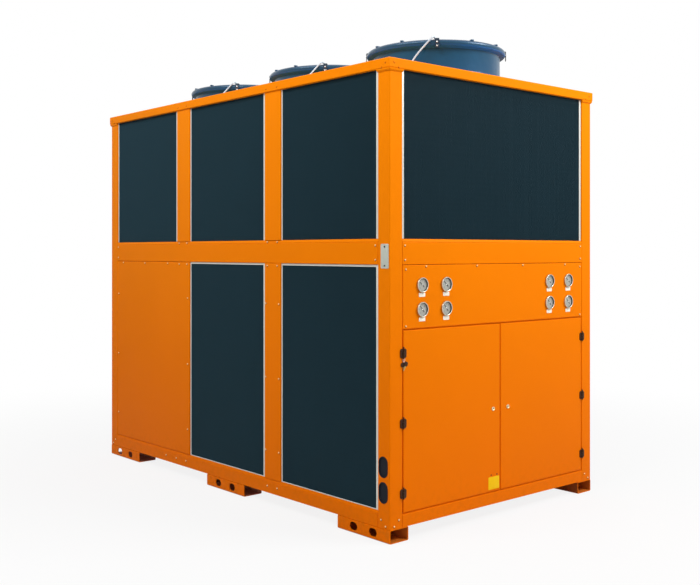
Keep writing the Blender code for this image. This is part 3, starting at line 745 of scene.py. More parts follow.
def make_finishes(scene):
    """All finishes by name; the solids that stay in view get theirs as well."""
    cabinet, coil, fan = scene.heat_pump_cabinet, scene.heat_pump_coils, scene.heat_pump_fans
    FINISHES.update({
        "paint": paint_finish("orange_powder_coat", cabinet),
        "foot_paint": paint_finish("orange_powder_coat_scuffed", cabinet, 2.0),
        "zinc": zinc_finish("galvanised_sheet_spangle"),
        "strip": strip_finish("casing_strip_metal", coil),
        "fins": fin_finish("coated_fin_stack", coil),
        "enamel": enamel_finish("cowl_stove_enamel", fan),
        "wire": dark_finish("guard_wire_coating", (0.013, 0.026, 0.044), 0.40, 0.2, gloss=0.3),
        "motor": dark_finish("motor_black_enamel", (0.016, 0.018, 0.021), 0.42, 0.2, 120.0),
        "blade": dark_finish("blade_black_coating", (0.015, 0.017, 0.020), 0.46, 0.1, 180.0),
        "hinge": dark_finish("hinge_brown_casting", (0.040, 0.016, 0.007), 0.50, gloss=0.18),
        "rubber": dark_finish("entry_rubber", (0.0050, 0.0065, 0.0110), 0.66, gloss=0.18),
        "sheath": dark_finish("cable_pale_sheath", (0.52, 0.64, 0.74), 0.48),
        "bright": bright_finish("plated_screw_metal"),
        "screw": bright_finish("yellow_zinc_screw_metal", (1.0, 0.72, 0.34), 0.34, 0.30),
        # Dark red-brown washers show below the screw heads as painted shadows; the door's rivets share it
        "washer": dark_finish("washer_brown_rubber", (0.26, 0.045, 0.004), 0.60, gloss=0.2),
        # Painted shade for the feet: dark brown on the wall that faces under the cabinet, red inside the
        # front feet and grey inside the others
        "under_painted_shade": dark_finish("foot_painted_shade_brown", (0.230, 0.055, 0.010), 0.62, gloss=0.1),
        "inner_painted_shade": dark_finish("foot_painted_shade_red", (0.500, 0.130, 0.013), 0.62, gloss=0.1),
        "far_painted_shade": dark_finish("foot_painted_shade_grey", (0.600, 0.290, 0.210), 0.62, gloss=0.1),
        "key": bright_finish("key_dull_brass", (0.50, 0.37, 0.14), 0.36),
        "brass": bright_finish("lock_nickel_brass", (0.80, 0.66, 0.42), 0.24),
        "bezel": bright_finish("gauge_bezel_steel", (0.58, 0.57, 0.49), 0.26),
        "dial": label_finish("gauge_dial_grey", (0.43, 0.43, 0.385), 0.24),
        "ink": label_finish("gauge_dial_ink", (0.03, 0.03, 0.035), 0.45),
        "tag": label_finish("blank_tag_plate", (0.93, 0.87, 0.74), 0.42),
        "plate": label_finish("corner_plate_grey", (0.50, 0.53, 0.46), 0.40),
        "sticker": label_finish("blank_sticker_yellow", (0.88, 0.54, 0.002), 0.46, gloss=0.12),
    })
    kept = {"plenum_floor": "zinc", "control_box": "zinc"}
    for name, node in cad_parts.items():
        wanted = kept.get(name, "fins" if name.startswith("coil_") else "paint")
        node.data.materials.clear()
        node.data.materials.append(FINISHES[wanted])


# Sheet metal of the cabinet

def corner_place(side_x, side_y):
    """Places a plan section, measured inwards from one corner of the cabinet, and a height."""
    def place(a, b, c):
        a, b, c = matched(a, b, c)
        return np.stack([side_x * (HALF_WIDTH - a), side_y * (HALF_LENGTH - b), c], axis=-1)
    return place


def add_corner_posts():
    """Folded posts: two faces that end in lips, and two cable entries in the near one."""
    half = SHEET / 2
    line = [(POST - half, POST_LIP), (POST - half, half), (half, half), (half, POST - half),
            (POST_LIP, POST - half)]
    for end, hand, side_x, side_y in CORNERS:
        name = f"corner_post_{end}_{hand}"
        patches = prism(folded(line), corner_place(side_x, side_y), BASE, POST_TOP)
        post = add_piece(f"{name}_sheet", patches, FINISHES["paint"])
        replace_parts(post, name)
        if name == "corner_post_front_left":
            for level in ENTRY_LEVELS:
                hole = obround((ENTRY_U, level), *ENTRY_SIZE)
                pierce(post, prism(hole, WALLS["left"].place, -POST_LIP / 2, SHEET))
        keep_flat(post)


def add_mid_posts():
    """Channel posts between the bays of the long sides."""
    for hand in ("left", "right"):
        wall = WALLS[hand]
        for name in (f"upper_post_{hand}_front", f"upper_post_{hand}_back", f"lower_post_{hand}"):
            u0, u1, z0, z1 = wall.span(name)
            line = [(u0 + a, -b) for a, b in channel(u1 - u0, MID_POST_DEPTH)]
            patches = prism(folded(line), wall.upright(), z0, z1)
            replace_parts(add_piece(f"{name}_sheet", patches, FINISHES["paint"], even=True), name)


def add_mid_rails():
    """Channel rails round the middle, each with a groove and a sloped lip along its upper edge."""
    for side, wall in WALLS.items():
        u0, u1, z0, z1 = wall.span(f"mid_rail_{side}")
        half = SHEET / 2
        line = [(-RAIL_DEPTH, z0 + half), (-half, z0 + half), (-half, z1 - 0.0175),
                (-half - 0.0025, z1 - 0.0150), (-half, z1 - 0.0125), (-half - 0.0045, z1 - half),
                (-RAIL_DEPTH, z1 - half)]
        patches = prism(folded(line, radius=TIGHT_FOLD, steps=3), wall.lengthwise(), u0, u1)
        rail = add_piece(f"mid_rail_{side}_sheet", patches, FINISHES["paint"], even=True)
        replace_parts(rail, f"mid_rail_{side}")


def add_base_frame():
    """Floor sheet and the folded rails round it, which share their ends with the posts."""
    low, high = corners("base_frame")
    inset = POST + GAP
    floor = rounded_rectangle(*zip(low[:2] + 0.004, high[:2] - 0.004), 0.003)
    piece = add_piece("base_floor_sheet", prism(floor, about_point((0, 0, 0)), BASE, BASE + SHEET),
                      FINISHES["paint"])
    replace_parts(piece, "base_frame")
    sill_top = WALLS["left"].span("lower_post_left")[2] - GAP
    end_top = WALLS["back"].span("back_panel")[2] - GAP
    for side, wall in WALLS.items():
        long_side = side in ("left", "right")
        top, depth = (sill_top, SILL_DEPTH) if long_side else (end_top, END_SILL_DEPTH)
        half = SHEET / 2
        line = [(-half, BASE), (-half, top - half), (-depth, top - half)]
        if long_side:
            line[1:2] = [(-half, top - 0.0175), (-half - 0.0022, top - 0.0155), (-half, top - 0.0135),
                         (-half - 0.0040, top - half)]
        outline = folded(line, radius=TIGHT_FOLD if long_side else FOLD)
        patches = prism(outline, wall.lengthwise(), inset, wall.length - inset)
        add_piece(f"base_rail_{side}_sheet", patches, FINISHES["paint"], even=True)


def add_feet():
    """Box sections with rounded edges and two slots through both walls."""
    steel = FOOT_WALL
    for hand in ("left", "right"):
        wall = WALLS[hand]
        for place in PLACES:
            name = f"foot_{hand}_{place}"
            u0, u1, z0, z1 = wall.span(name)
            low, high = corners(name)
            across = high[0] - low[0]
            outer = rounded_rectangle((-across, 0.0), (z0, z1), FOOT_CORNERS[0], 5)
            inner = rounded_rectangle((steel - across, -steel), (z0 + steel, z1 - steel),
                                      FOOT_CORNERS[1], 5)
            a, b = np.stack([outer, inner]).transpose(2, 0, 1)
            ends = np.stack([wall.lengthwise()(a, b, u) for u in (u0, u1)])
            shell = np.stack([ends[0, 0], ends[1, 0], ends[1, 1], ends[0, 1]])
            foot = add_piece(f"{name}_section", [surface(shell, close_rows=True, close_columns=True)],
                             FINISHES["foot_paint"])
            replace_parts(foot, name)
            for offset in (-SLOT_OFFSET, SLOT_OFFSET):
                slot = obround(((u0 + u1) / 2 + offset, (z0 + z1) / 2), SLOT_LENGTH, SLOT_HEIGHT)
                pierce(foot, prism(slot, wall.place, -across - steel, steel))
            # Painted shade inside each foot, red in the front feet and grey in the others, and dark brown
            # on the wall that faces under the cabinet
            coat = FINISHES["inner_painted_shade" if place == "front" else "far_painted_shade"]
            prime_inside(foot, low, high, (-wall.outward[0], 0.0, 0.0), coat)
            keep_flat(foot)


def prime_inside(foot, low, high, inward, coat):
    """A painted shade on the faces inside a box section, and a darker one on its wall that faces under the
    cabinet.
    """
    mesh = foot.data
    centre, normal = np.empty((2, len(mesh.polygons) * 3))
    mesh.polygons.foreach_get("center", centre)
    mesh.polygons.foreach_get("normal", normal)
    centre, normal = centre.reshape(-1, 3), normal.reshape(-1, 3)
    margin = FOOT_WALL - 0.001
    inside = ((centre > low + margin) & (centre < high - margin))[:, (0, 2)].all(axis=1)
    inside &= np.abs(normal[:, 1]) < 0.9
    mesh.materials.append(FINISHES["under_painted_shade"])
    mesh.materials.append(coat)
    coats = np.where(inside, 2, normal @ np.array(inward) > 0.9)
    mesh.polygons.foreach_set("material_index", coats.astype(np.int32))


def holed_tile(centre, radius, x, y, count=96):
    """Deck round one throat: rays from its middle run from the circle to the tile's edges."""
    turn = np.linspace(0, 2 * np.pi, count, endpoint=False) + np.pi / count
    tips = [math.atan2(b - centre[1], a - centre[0]) for a in x for b in y]
    turn = np.sort(np.concatenate([turn, np.mod(tips, 2 * np.pi)]))
    cos, sin = np.cos(turn), np.sin(turn)
    reach_x = np.where(cos > 0, x[1] - centre[0], x[0] - centre[0]) / np.where(cos == 0, WELD, cos)
    reach_y = np.where(sin > 0, y[1] - centre[1], y[0] - centre[1]) / np.where(sin == 0, WELD, sin)
    reach = np.minimum(reach_x, reach_y)
    share = np.array([0.0, 0.25, 1.0])[:, None]
    out = radius + (reach - radius) * share
    return np.stack([centre[0] + out * cos, centre[1] + out * sin], axis=-1)


def add_roof():
    """Cap: a deck with three throats, folded down and then in, as one sheet.

    The rim's rings follow the deck's outer points, moved out or in by each point's inset.
    """
    half = np.array([HALF_WIDTH, HALF_LENGTH]) + CAP_OUT
    fold = 0.004
    inner = half - fold
    centres = [fan_centre(name) for name in PLACES]
    along = np.array(centres)[:, 1]
    cuts = [-inner[1], *(along[:-1] + along[1:]) / 2, inner[1]]
    throat = 0.3155
    patches, edge = [], []
    for centre, y in zip(centres, zip(cuts, cuts[1:])):
        tile = holed_tile(centre, throat, (-inner[0], inner[0]), y)
        level = np.full(tile.shape[:2] + (1,), DECK)
        patches.append(surface(np.concatenate([tile, level], axis=-1), close_columns=True))
        edge.append(tile[-1])
    edge = np.concatenate(edge)
    on_rim = (np.abs(np.abs(edge) - inner) < WELD).any(axis=1)
    edge = np.unique(np.round(edge[on_rim], 7), axis=0)
    edge = edge[np.argsort(np.arctan2(edge[:, 1] / inner[1], edge[:, 0] / inner[0]))]
    outer_edge = np.abs(np.abs(edge) - inner) < WELD * 5
    profile = [(fold, DECK), *bend((fold, DECK - fold), fold, 90, 180, 5)[1:],
               *bend((fold, ROOF_BOTTOM + fold), fold, 180, 270, 5), (ROOF_FLANGE, ROOF_BOTTOM)]
    rings = []
    for inset, level in profile:
        limit = half - inset
        ring = np.where(outer_edge, np.sign(edge) * limit, np.clip(edge, -limit, limit))
        rings.append(np.column_stack([ring, np.full(len(ring), level)]))
    patches.append(surface(np.stack(rings), close_columns=True))
    roof = add_piece("roof_cap_sheet", patches, FINISHES["paint"], outward=(0, 0, 1))
    thicken(roof, SHEET)
    keep_flat(roof)
    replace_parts(roof, "roof")


def add_corner_skirts():
    """Skirts of the cap's corners: rings round an L, each drawn in towards the post lower down."""
    reach = POST + 0.004
    back = GAP - 0.0015
    start = CAP_OUT - 0.0005
    steps = [(0.0, start), (0.0045, start * 0.98), (0.0085, start * 0.80), (0.0115, start * 0.45),
             (0.0130, 0.0012)]
    for end, hand, side_x, side_y in CORNERS:
        rings = []
        for drop, out in steps:
            near = reach - drop * 0.45
            plan = np.array([(near, back), (near, -out),
                             *bend((0.003 - out, 0.003 - out), 0.003, 270, 180, 5),
                             (-out, near), (back, near), (back, back)])
            rings.append(corner_place(side_x, side_y)(*plan.T, ROOF_BOTTOM - GAP - drop))
        patches = tower(rings)
        add_piece(f"roof_corner_skirt_{end}_{hand}", patches, FINISHES["paint"], even=True)


def add_door_head():
    """Return strip that closes the gap over the doors from inside."""
    front = WALLS["front"]
    top = front.span("gauge_panel")[2]
    patches = plate(front.place, (0.079, front.length - 0.079), (top - 0.026, top - 0.001),
                    (-PANEL_DEPTH - 0.0042, -PANEL_DEPTH - 0.0012), 0.002, 0.0005)
    add_piece("door_head_return", patches, FINISHES["paint"])


def add_door_returns():
    """Narrow returns behind the gaps round the doors and between them."""
    front = WALLS["front"]
    low, high = front.span("door_left")[2:]
    top, sill = front.span("gauge_panel")[2], front.span("back_panel")[2]
    right = front.length - POST
    depth = (-0.0085, -0.0065)
    bars = []
    for u, z in (((POST, POST + 0.0038), (low, high)), ((right - 0.0038, right), (low, high)),
                 ((POST, right), (high + 0.0012, top)), ((POST, right), (sill, low - 0.0012))):
        bars += plate(front.place, u, z, depth, 0.0004, 0.0003)
    add_piece("door_gap_returns", bars, FINISHES["paint"])
    middle = front.length / 2
    lap = plate(front.place, (middle - 0.0015, middle + 0.0024), (low + 0.001, high - 0.001), depth,
                0.0004, 0.0003)
    add_piece("door_lap", lap, FINISHES["paint"], "right_door")


def add_tray(name, wall, material, corner=0.004, body="cabinet"):
    """Panel folded on all four edges and given its sheet's thickness."""
    u0, u1, z0, z1 = wall.span(name)
    if name.startswith("door"):
        u0, u1 = (POST + 0.005, wall.length / 2 - 0.0025)
        if name.endswith("right"):
            u0, u1 = wall.length - u1, wall.length - u0
    else:
        u0, u1, z0, z1 = u0 + SEAM, u1 - SEAM, z0 + SEAM / 2, z1 - SEAM
    depth = MID_POST_DEPTH if name.startswith("side") else PANEL_DEPTH
    profile = [(0.0, -depth), (0.0, -0.010)] + eased(-0.004, 0.0, 0.004)
    patches = drawn(wall.place, (u0, u1), (z0, z1), corner, profile)
    panel = add_piece(f"{name}_sheet", patches, material, body, outward=(*wall.outward, 0.0))
    thicken(panel, SHEET)
    keep_flat(panel)
    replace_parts(panel, name)
    return panel


# Coils

def fin_patch(wall, u, z, looks):
    """Edges of the fins: a square wave along the wall, with narrow crests and deep valleys."""
    count = max(2, int((u[1] - u[0]) / looks.fin_pitch))
    pitch = (u[1] - u[0]) / count
    start = u[0] + pitch * np.arange(count)[:, None]
    steps = np.array([0.0, 0.05, 0.25, 0.30]) * pitch
    across = (start + steps).ravel()
    out = np.tile([-FIN_SETBACK, looks.fin_front, looks.fin_front, -FIN_SETBACK], count)
    across = np.append(across, u[1])
    out = np.append(out, -FIN_SETBACK)
    points = np.stack([wall.place(across, level, out) for level in z])
    return surface(points)


def strip(wall, u, z, out, edge=0.0012):
    """A casing strip: a flat bar with eased front edges."""
    return plate(wall.place, u, z, out, edge, edge)


def add_coil(node, wall, looks, strips):
    """Fins in the recess of a coil and casing strips round them: low u, high u, bottom, top."""
    u0, u1, z0, z1 = wall.span(node)
    low_u, high_u = u0 + strips[0], u1 - strips[1]
    low_z, high_z = z0 + strips[2], z1 - strips[3]
    fins = [fin_patch(wall, (low_u + GAP, high_u - GAP), (low_z + GAP, high_z - GAP), looks)]
    add_piece(f"{node}_fins", fins, FINISHES["fins"], outward=(*wall.outward, 0.0), smooth=20.0)
    out = (-COIL_SETBACK, -COIL_SETBACK + 0.0022)
    bars = strip(wall, (u0, low_u), (z0, z1), out) + strip(wall, (high_u, u1), (z0, z1), out)
    if strips[2]:
        bars += strip(wall, (low_u + GAP, high_u - GAP), (z0, low_z), out)
        bars += strip(wall, (low_u + GAP, high_u - GAP), (high_z, z1), out)
    add_piece(f"{node}_casing_strips", bars, FINISHES["strip"])


# Doors, locks, hinges and what hangs on them

def hinge_half(seam, way, level, on_door):
    """One half of a hinge: a leaf beside the axis and its barrels on it."""
    front = WALLS["front"]
    near, far = seam + way * (KNUCKLE + KNUCKLE_PLAY), seam + way * HINGE_LEAF
    z = (level - HINGE_HEIGHT / 2, level + HINGE_HEIGHT / 2)
    axis_out = HINGE_AXIS[1]
    cut = way * 0.0055
    outline = np.array([(near, z[0]), (far - cut, z[0]), (far, z[0] + 0.0055), (far, z[1] - 0.0055),
                        (far - cut, z[1]), (near, z[1])])
    middle = np.array([(near + far) / 2, level])
    face = axis_out - KNUCKLE_PLAY
    rings = [front.place(*(middle + (outline - middle) * (1 - inset)).T, out)
             for inset, out in ((0.0, 0.0), (0.0, face - 0.0010), (0.02, face - 0.0003), (0.06, face))]
    patches = tower(rings)
    third = HINGE_HEIGHT / 3
    chamfer = 0.0008
    for index in ((0, 2) if on_door else (1,)):
        low = z[0] + index * third + KNUCKLE_PLAY / 2
        high = z[0] + (index + 1) * third - KNUCKLE_PLAY / 2
        profile = [(0.0, low), (KNUCKLE - chamfer, low), (KNUCKLE, low + chamfer),
                   (KNUCKLE, high - chamfer), (KNUCKLE - chamfer, high), (0.0, high)]
        patches += lathe(profile, 24, lambda a, b, c: front.place(seam + a, c, axis_out + b))
        arm = sorted((seam, near + way * 0.001))
        outline = [(arm[0], 0.001), (arm[1], 0.001), (arm[1], face), (arm[0], axis_out + KNUCKLE)]
        patches += prism(outline, front.upright(), low, high)
    if not on_door:
        for low, high in ((z[0] - 0.0040, z[0] - 0.0002), (z[1] + 0.0002, z[1] + 0.0080)):
            profile = [(0.0, low), (0.0022, low), (PIN_END, low + 0.0009), (PIN_END, high - 0.0009),
                       (0.0022, high), (0.0, high)]
            patches += lathe(profile, 20, lambda a, b, c: front.place(seam + a, c, axis_out + b))
    return patches


def add_hinges():
    """Three hinges on each door; one half rides on the post and the other on the door."""
    front = WALLS["front"]
    for hand, seam, way in (("left", HINGE_AXIS[0], 1), ("right", front.length - HINGE_AXIS[0], -1)):
        for half, body, side in (("post", "cabinet", -way), ("door", f"{hand}_door", way)):
            patches = []
            for level in HINGE_LEVELS:
                patches += hinge_half(seam, side, level, half == "door")
            add_piece(f"hinges_{hand}_{half}_half", patches, FINISHES["hinge"], body, smooth=30.0)
            heads = []
            for level in HINGE_LEVELS:
                for rise in (-0.012, 0.012):
                    u = seam + side * 0.0115
                    heads += screw_head(front, u, level + rise, HINGE_AXIS[1] - KNUCKLE_PLAY, 0.0025)
            add_piece(f"hinge_screws_{hand}_{half}", heads, FINISHES["hinge"], body)


def add_locks():
    """Cam locks: a flanged barrel with a sunk insert and its key slot."""
    front = WALLS["front"]
    for hand, u in (("left", front.length / 2 - LOCK_U), ("right", front.length / 2 + LOCK_U)):
        place = front.about(u, LOCK_LEVEL)
        body = f"{hand}_door"
        profile = [(0.0093, 0.0), (0.0100, 0.0006), (0.0100, 0.0022), (0.0092, 0.0034), (0.0070, 0.0040),
                   (0.0062, 0.0034), (0.0062, 0.0018), (0.0, 0.0018)]
        add_piece(f"lock_{hand}_barrel", lathe(profile, 40, place), FINISHES["brass"], body)
        insert = plate(place, (-0.0012, 0.0012), (-0.0045, 0.0045), (0.0016, 0.0030), 0.0010, 0.0004)
        add_piece(f"lock_{hand}_insert", insert, FINISHES["rubber"], body)


def add_keys():
    """Two keys with moulded heads on a ring, which hangs from the top left hinge."""
    front = WALLS["front"]
    u, z = HINGE_AXIS[0] + 0.0016, KEY_LEVEL
    turn = np.linspace(0, 2 * np.pi, 33)
    loop = front.place(u + KEY_RING[0] * np.sin(turn), z + KEY_RING[1] * np.cos(turn),
                       0.0042 + 0.001 * np.cos(turn))
    ring = [surface(wire_rings(loop, 0.0010), close_rows=True, close_columns=True)]
    add_piece("key_ring", ring, FINISHES["tag"], "left_door")
    edge = [(0.0014, 0.0), (0.0002, 0.0006), (0.0, 0.0014), (0.0006, 0.0024), (0.0020, 0.0028)]
    bits = [(-0.0034, -0.0100), (-0.0034, -0.0245), (-0.0010, -0.0280), (0.0026, -0.0255),
            (0.0014, -0.0230), (0.0034, -0.0205), (0.0018, -0.0180), (0.0034, -0.0155), (0.0034, -0.0100)]
    hangs = ((-0.0050, 0.0195, 0.24), (0.0105, 0.0165, -0.42))
    for index, (across, drop, lean) in enumerate(hangs):
        place = leaning(front, u + across, z - drop, lean, 0.0012 + 0.0034 * index)
        head = drawn(place, (-0.0112, 0.0112), (-0.0105, 0.0100), 0.0082, edge, shut_start=True)
        add_piece(f"key_{index + 1}_head", head, FINISHES["hinge"], "left_door")
        blade = prism(bits, place, 0.0006, 0.0018)
        add_piece(f"key_{index + 1}_blade", blade, FINISHES["key"], "left_door")


def leaning(wall, u, z, lean, out):
    """Places a flat outline that hangs from a point of the wall and leans aside."""
    cos, sin = math.cos(lean), math.sin(lean)
    return lambda a, b, c: wall.place(u + a * cos - b * sin, z + a * sin + b * cos, out + c)


def wire_rings(path, radius, sides=8):
    """Circles square to a closed path, in the plane of its normal and its outward direction."""
    ahead = np.roll(path[:-1], -1, axis=0) - np.roll(path[:-1], 1, axis=0)
    ahead /= np.linalg.norm(ahead, axis=1)[:, None]
    away = path[:-1] - path[:-1].mean(axis=0)
    away /= np.linalg.norm(away, axis=1)[:, None]
    up = np.cross(ahead, away)
    turn = np.linspace(0, 2 * np.pi, sides, endpoint=False)
    around = away[:, None] * np.cos(turn)[:, None] + up[:, None] * np.sin(turn)[:, None]
    return path[:-1][:, None] + radius * around


def add_sticker():
    """Blank sticker at the foot of the left door, under two dark rivets."""
    front = WALLS["front"]
    patches = plate(front.place, STICKER_U, STICKER_Z, (0.0, 0.0007), 0.004, 0.0003)
    add_piece("blank_sticker", patches, FINISHES["sticker"], "left_door")
    level = STICKER_Z[1] + 0.0085
    rivets = rivet_head(front, 0.650, level, 0.0) + rivet_head(front, 0.690, level, 0.0)
    add_piece("door_rivets", rivets, FINISHES["washer"], "left_door")


# Gauges

DIAL_START = 225.0
DIAL_SWEEP = 270.0
TICK_LONG = 0.0200
TICK_SHORT = 0.0228
TICK_END = 0.0250
NEEDLE_HEADINGS = (138, 128, 141, 131, 136, 129, 143, 133)
NUMBERS = range(0, 31, 5)
NUMBER_RADIUS = 0.0168
TAG_HALF = (0.0195, 0.0090)


def gauge_places():
    """Middles of the eight gauges, as (u, z)."""
    middle = WALLS["front"].length / 2
    return [(middle + side * offset, level) for side in (-1, 1) for offset in GAUGE_OFFSETS
            for level in GAUGE_LEVELS]


def dial_ticks(place, count, inner, outer, width, out):
    """Thin flat bars set round a dial: each runs along a ray, and its sides are square to it."""
    turn = np.radians(np.linspace(DIAL_START, DIAL_START - DIAL_SWEEP, count))
    ray = np.stack([np.cos(turn), np.sin(turn)], axis=1)
    side = np.stack([-ray[:, 1], ray[:, 0]], axis=1) * width / 2
    corner = [ray * inner - side, ray * outer - side, ray * outer + side, ray * inner + side]
    flat = np.stack(corner, axis=1)
    points = place(flat[..., 0], flat[..., 1], out).reshape(-1, 3)
    return points, [np.arange(len(points)).reshape(-1, 4)]


def add_gauges():
    """Eight gauges: a turned case with a bright bezel, a printed dial, a needle and its hub."""
    front = WALLS["front"]
    r = GAUGE_RADIUS
    rim = [(r - 0.0015, 0.0), (r, 0.0010), (r, 0.0066), (r - 0.0006, 0.0084), (r - 0.0018, 0.0094),
           (r - 0.0030, 0.0094), (r - 0.0040, 0.0088), (r - 0.0044, 0.0080)]
    well = [(r - 0.0044, 0.0080), (r - 0.0050, 0.0070), (r - 0.0052, DIAL_OUT - 0.0004)]
    tip = [(-0.0022, -0.014), (0.0022, -0.014), (0.0011, 0.019), (0.0, 0.0215), (-0.0011, 0.019)]
    hub = [(0.0, 0.0026), (0.0016, 0.0024), (0.0026, 0.0016), (0.0026, 0.0002), (0.0, 0.0002)]
    hub = [(radius, DIAL_OUT + rise) for radius, rise in hub]
    inked = DIAL_OUT + 0.00015
    bezels, walls, dials, ink, needles, hubs, numbers = [], [], [], [], [], [], []
    for (u, z), heading in zip(gauge_places(), NEEDLE_HEADINGS):
        place = front.about(u, z)
        bezels += lathe(rim, 64, place)
        walls += lathe(well, 64, place)
        dials.append(lid(place(*arc((0.0, 0.0), r - 0.0051, 0, 360, 64)[:-1].T, DIAL_OUT)))
        ink.append(dial_ticks(place, 7, TICK_LONG, TICK_END, 0.0008, inked))
        ink.append(dial_ticks(place, 31, TICK_SHORT, TICK_END, 0.0004, inked))
        pointing = leaning(front, u, z, math.radians(heading - 90), DIAL_OUT + 0.0010)
        needles += prism(tip, pointing, 0.0, 0.0004)
        hubs += lathe(hub, 20, place)
        numbers += dial_numbers(front, u, z)
    out = (0.0, -1.0, 0.0)
    add_piece("gauge_bezels", bezels, FINISHES["bezel"], outward=out)
    add_piece("gauge_case_walls", walls, FINISHES["motor"], outward=out)
    add_piece("gauge_dials", dials, FINISHES["dial"], outward=out)
    add_piece("gauge_ticks", ink, FINISHES["ink"], outward=out)
    add_piece("gauge_needles", needles, FINISHES["ink"])
    add_piece("gauge_hubs", hubs, FINISHES["bright"])
    join_numbers(numbers)


def dial_numbers(wall, u, z):
    """Plain numbers of a dial, as text objects set round it."""
    made = []
    for number in NUMBERS:
        turn = math.radians(DIAL_START - DIAL_SWEEP * number / NUMBERS[-1])
        curve = bpy.data.curves.new("number", "FONT")
        curve.body = str(number)
        curve.size = 0.0048
        curve.align_x = "CENTER"
        curve.align_y = "CENTER"
        text = add_object("number", curve)
        across, up = NUMBER_RADIUS * math.cos(turn), NUMBER_RADIUS * math.sin(turn)
        text.location = tuple(wall.place(u + across, z + up, DIAL_OUT + 0.0002))
        text.rotation_euler = (math.pi / 2, 0.0, 0.0)
        made.append(text)
    return made


def join_numbers(texts):
    """Turns the numbers into one mesh with its place in its points."""
    bpy.context.view_layer.update()
    graph = bpy.context.evaluated_depsgraph_get()
    bm = bmesh.new()
    for text in texts:
        mesh = bpy.data.meshes.new_from_object(text.evaluated_get(graph))
        mesh.transform(text.matrix_world)
        bm.from_mesh(mesh)
        bpy.data.meshes.remove(mesh)
    mesh = bpy.data.meshes.new("gauge_numbers")
    bm.to_mesh(mesh)
    bm.free()
    for text in texts:
        curve = text.data
        bpy.data.objects.remove(text, do_unlink=True)
        bpy.data.curves.remove(curve)
    mesh.materials.clear()
    mesh.materials.append(FINISHES["ink"])
    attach(add_object("gauge_numbers", mesh), "cabinet")


def add_tags():
    """Blank tag plates under the gauges."""
    patches = []
    a, b = TAG_HALF
    for u, z in gauge_places():
        place = WALLS["front"].about(u, z - TAG_DROP)
        patches += plate(place, (-a, a), (-b, b), (0.0, 0.0012), 0.003, 0.0006)
    add_piece("gauge_tags", patches, FINISHES["tag"])


# Screws

SCREW_RADIUS = 0.0038
RIVET_RADIUS = 0.0044
WASHER_RADIUS = 0.0056
WASHER_THICKNESS = 0.0006
# How far each washer hangs low, so that its rim shows below the screw head as a painted shadow
WASHER_SHADOW_DROP = 0.0013
PANEL_SCREW_LEVELS = (0.269, 0.625, 0.985)
BACK_SCREW_LEVELS = (0.62, 0.35, 0.16)
RAIL_SCREW_PLACES = (1.62, 1.72, 1.83, 0.79, 0.87)


def screw_head(wall, u, z, out, radius=SCREW_RADIUS):
    """A pan head: a dome that rises from its rim, with a sunk middle."""
    steps = [(1.0, 0.0), (1.0, 0.22), (0.96, 0.42), (0.80, 0.66), (0.52, 0.76), (0.30, 0.76),
             (0.24, 0.40), (0.0, 0.36)]
    profile = [(radius * a, out + radius * b) for a, b in steps]
    return lathe(profile, 12, wall.about(u, z))


def rivet_head(wall, u, z, out):
    """A low painted dome."""
    steps = [(1.0, 0.0), (1.0, 0.10), (0.86, 0.30), (0.5, 0.42), (0.0, 0.45)]
    return lathe([(RIVET_RADIUS * a, out + RIVET_RADIUS * b) for a, b in steps], 12, wall.about(u, z))


def washer(wall, u, z):
    """A thin soft disc under a screw head, like a sealing washer, set low and dark so that its rim shows
    below the head as a painted shadow.
    """
    radius, face = WASHER_RADIUS, WASHER_THICKNESS
    profile = [(radius, 0.0), (radius, face / 2), (radius * 0.93, face), (0.0, face)]
    return lathe(profile, 14, wall.about(u, z - WASHER_SHADOW_DROP))


def mirrored(values, length):
    return list(values) + [length - value for value in reversed(values)]


def screw_places():
    """Where screws show on each wall, as (wall name, u, z)."""
    cap_high, cap_low = DECK - 0.020, DECK - 0.038
    rail_low, rail_high = RAIL_LOW + 0.021, RAIL_LOW + 0.083
    places = []
    for side, wall in WALLS.items():
        long_side = side in ("left", "right")
        for u, z in ((0.020, cap_high), (0.047, cap_low), (0.025, BASE + 0.012), (0.053, BASE + 0.036)):
            places += [(side, a, z) for a in mirrored([u], wall.length)]
        for z in (rail_low, rail_high):
            places += [(side, a, z) for a in mirrored([POST + 0.014], wall.length)]
        if long_side:
            places += post_screws(side, wall, cap_high)
        else:
            top = RAIL_LOW - 0.008
            places += [(side, a, top) for a in mirrored([0.218, 0.550], wall.length)]
            edges = mirrored([0.094], wall.length)
            places += [(side, a, z) for a in edges for z in (top - 0.012, 0.918)]
            if side == "back":
                places += [(side, a, z) for a in edges for z in BACK_SCREW_LEVELS]
    return places


def post_screws(side, wall, cap_level):
    """Screws of the long sides: on the posts, the plain panel and the base rail."""
    places = []
    for name in (f"upper_post_{side}_front", f"upper_post_{side}_back"):
        u0, u1, z0, _ = wall.span(name)
        middle = (u0 + u1) / 2
        places += [(side, middle + step, cap_level - 0.006) for step in (-0.043, 0.043)]
        places += [(side, middle + step, z0 - 0.008) for step in (-0.040, 0.040)]
        places += [(side, middle + step, RAIL_LOW - 0.012) for step in (-0.040, 0.040)]
    u0, u1, _, _ = wall.span(f"lower_post_{side}")
    places += [(side, u, z) for u in (u0 + 0.012, u1 - 0.012) for z in PANEL_SCREW_LEVELS]
    u0, u1, z0, z1 = wall.span(f"side_panel_{side}")
    places += [(side, u, z) for u in (u0 + 0.018, u1 - 0.018) for z in PANEL_SCREW_LEVELS]
    places += [(side, u0 + 0.228 + 0.257 * i, z1 - 0.009) for i in range(3)]
    places += [(side, u, BASE + 0.034) for u in RAIL_SCREW_PLACES]
    return places


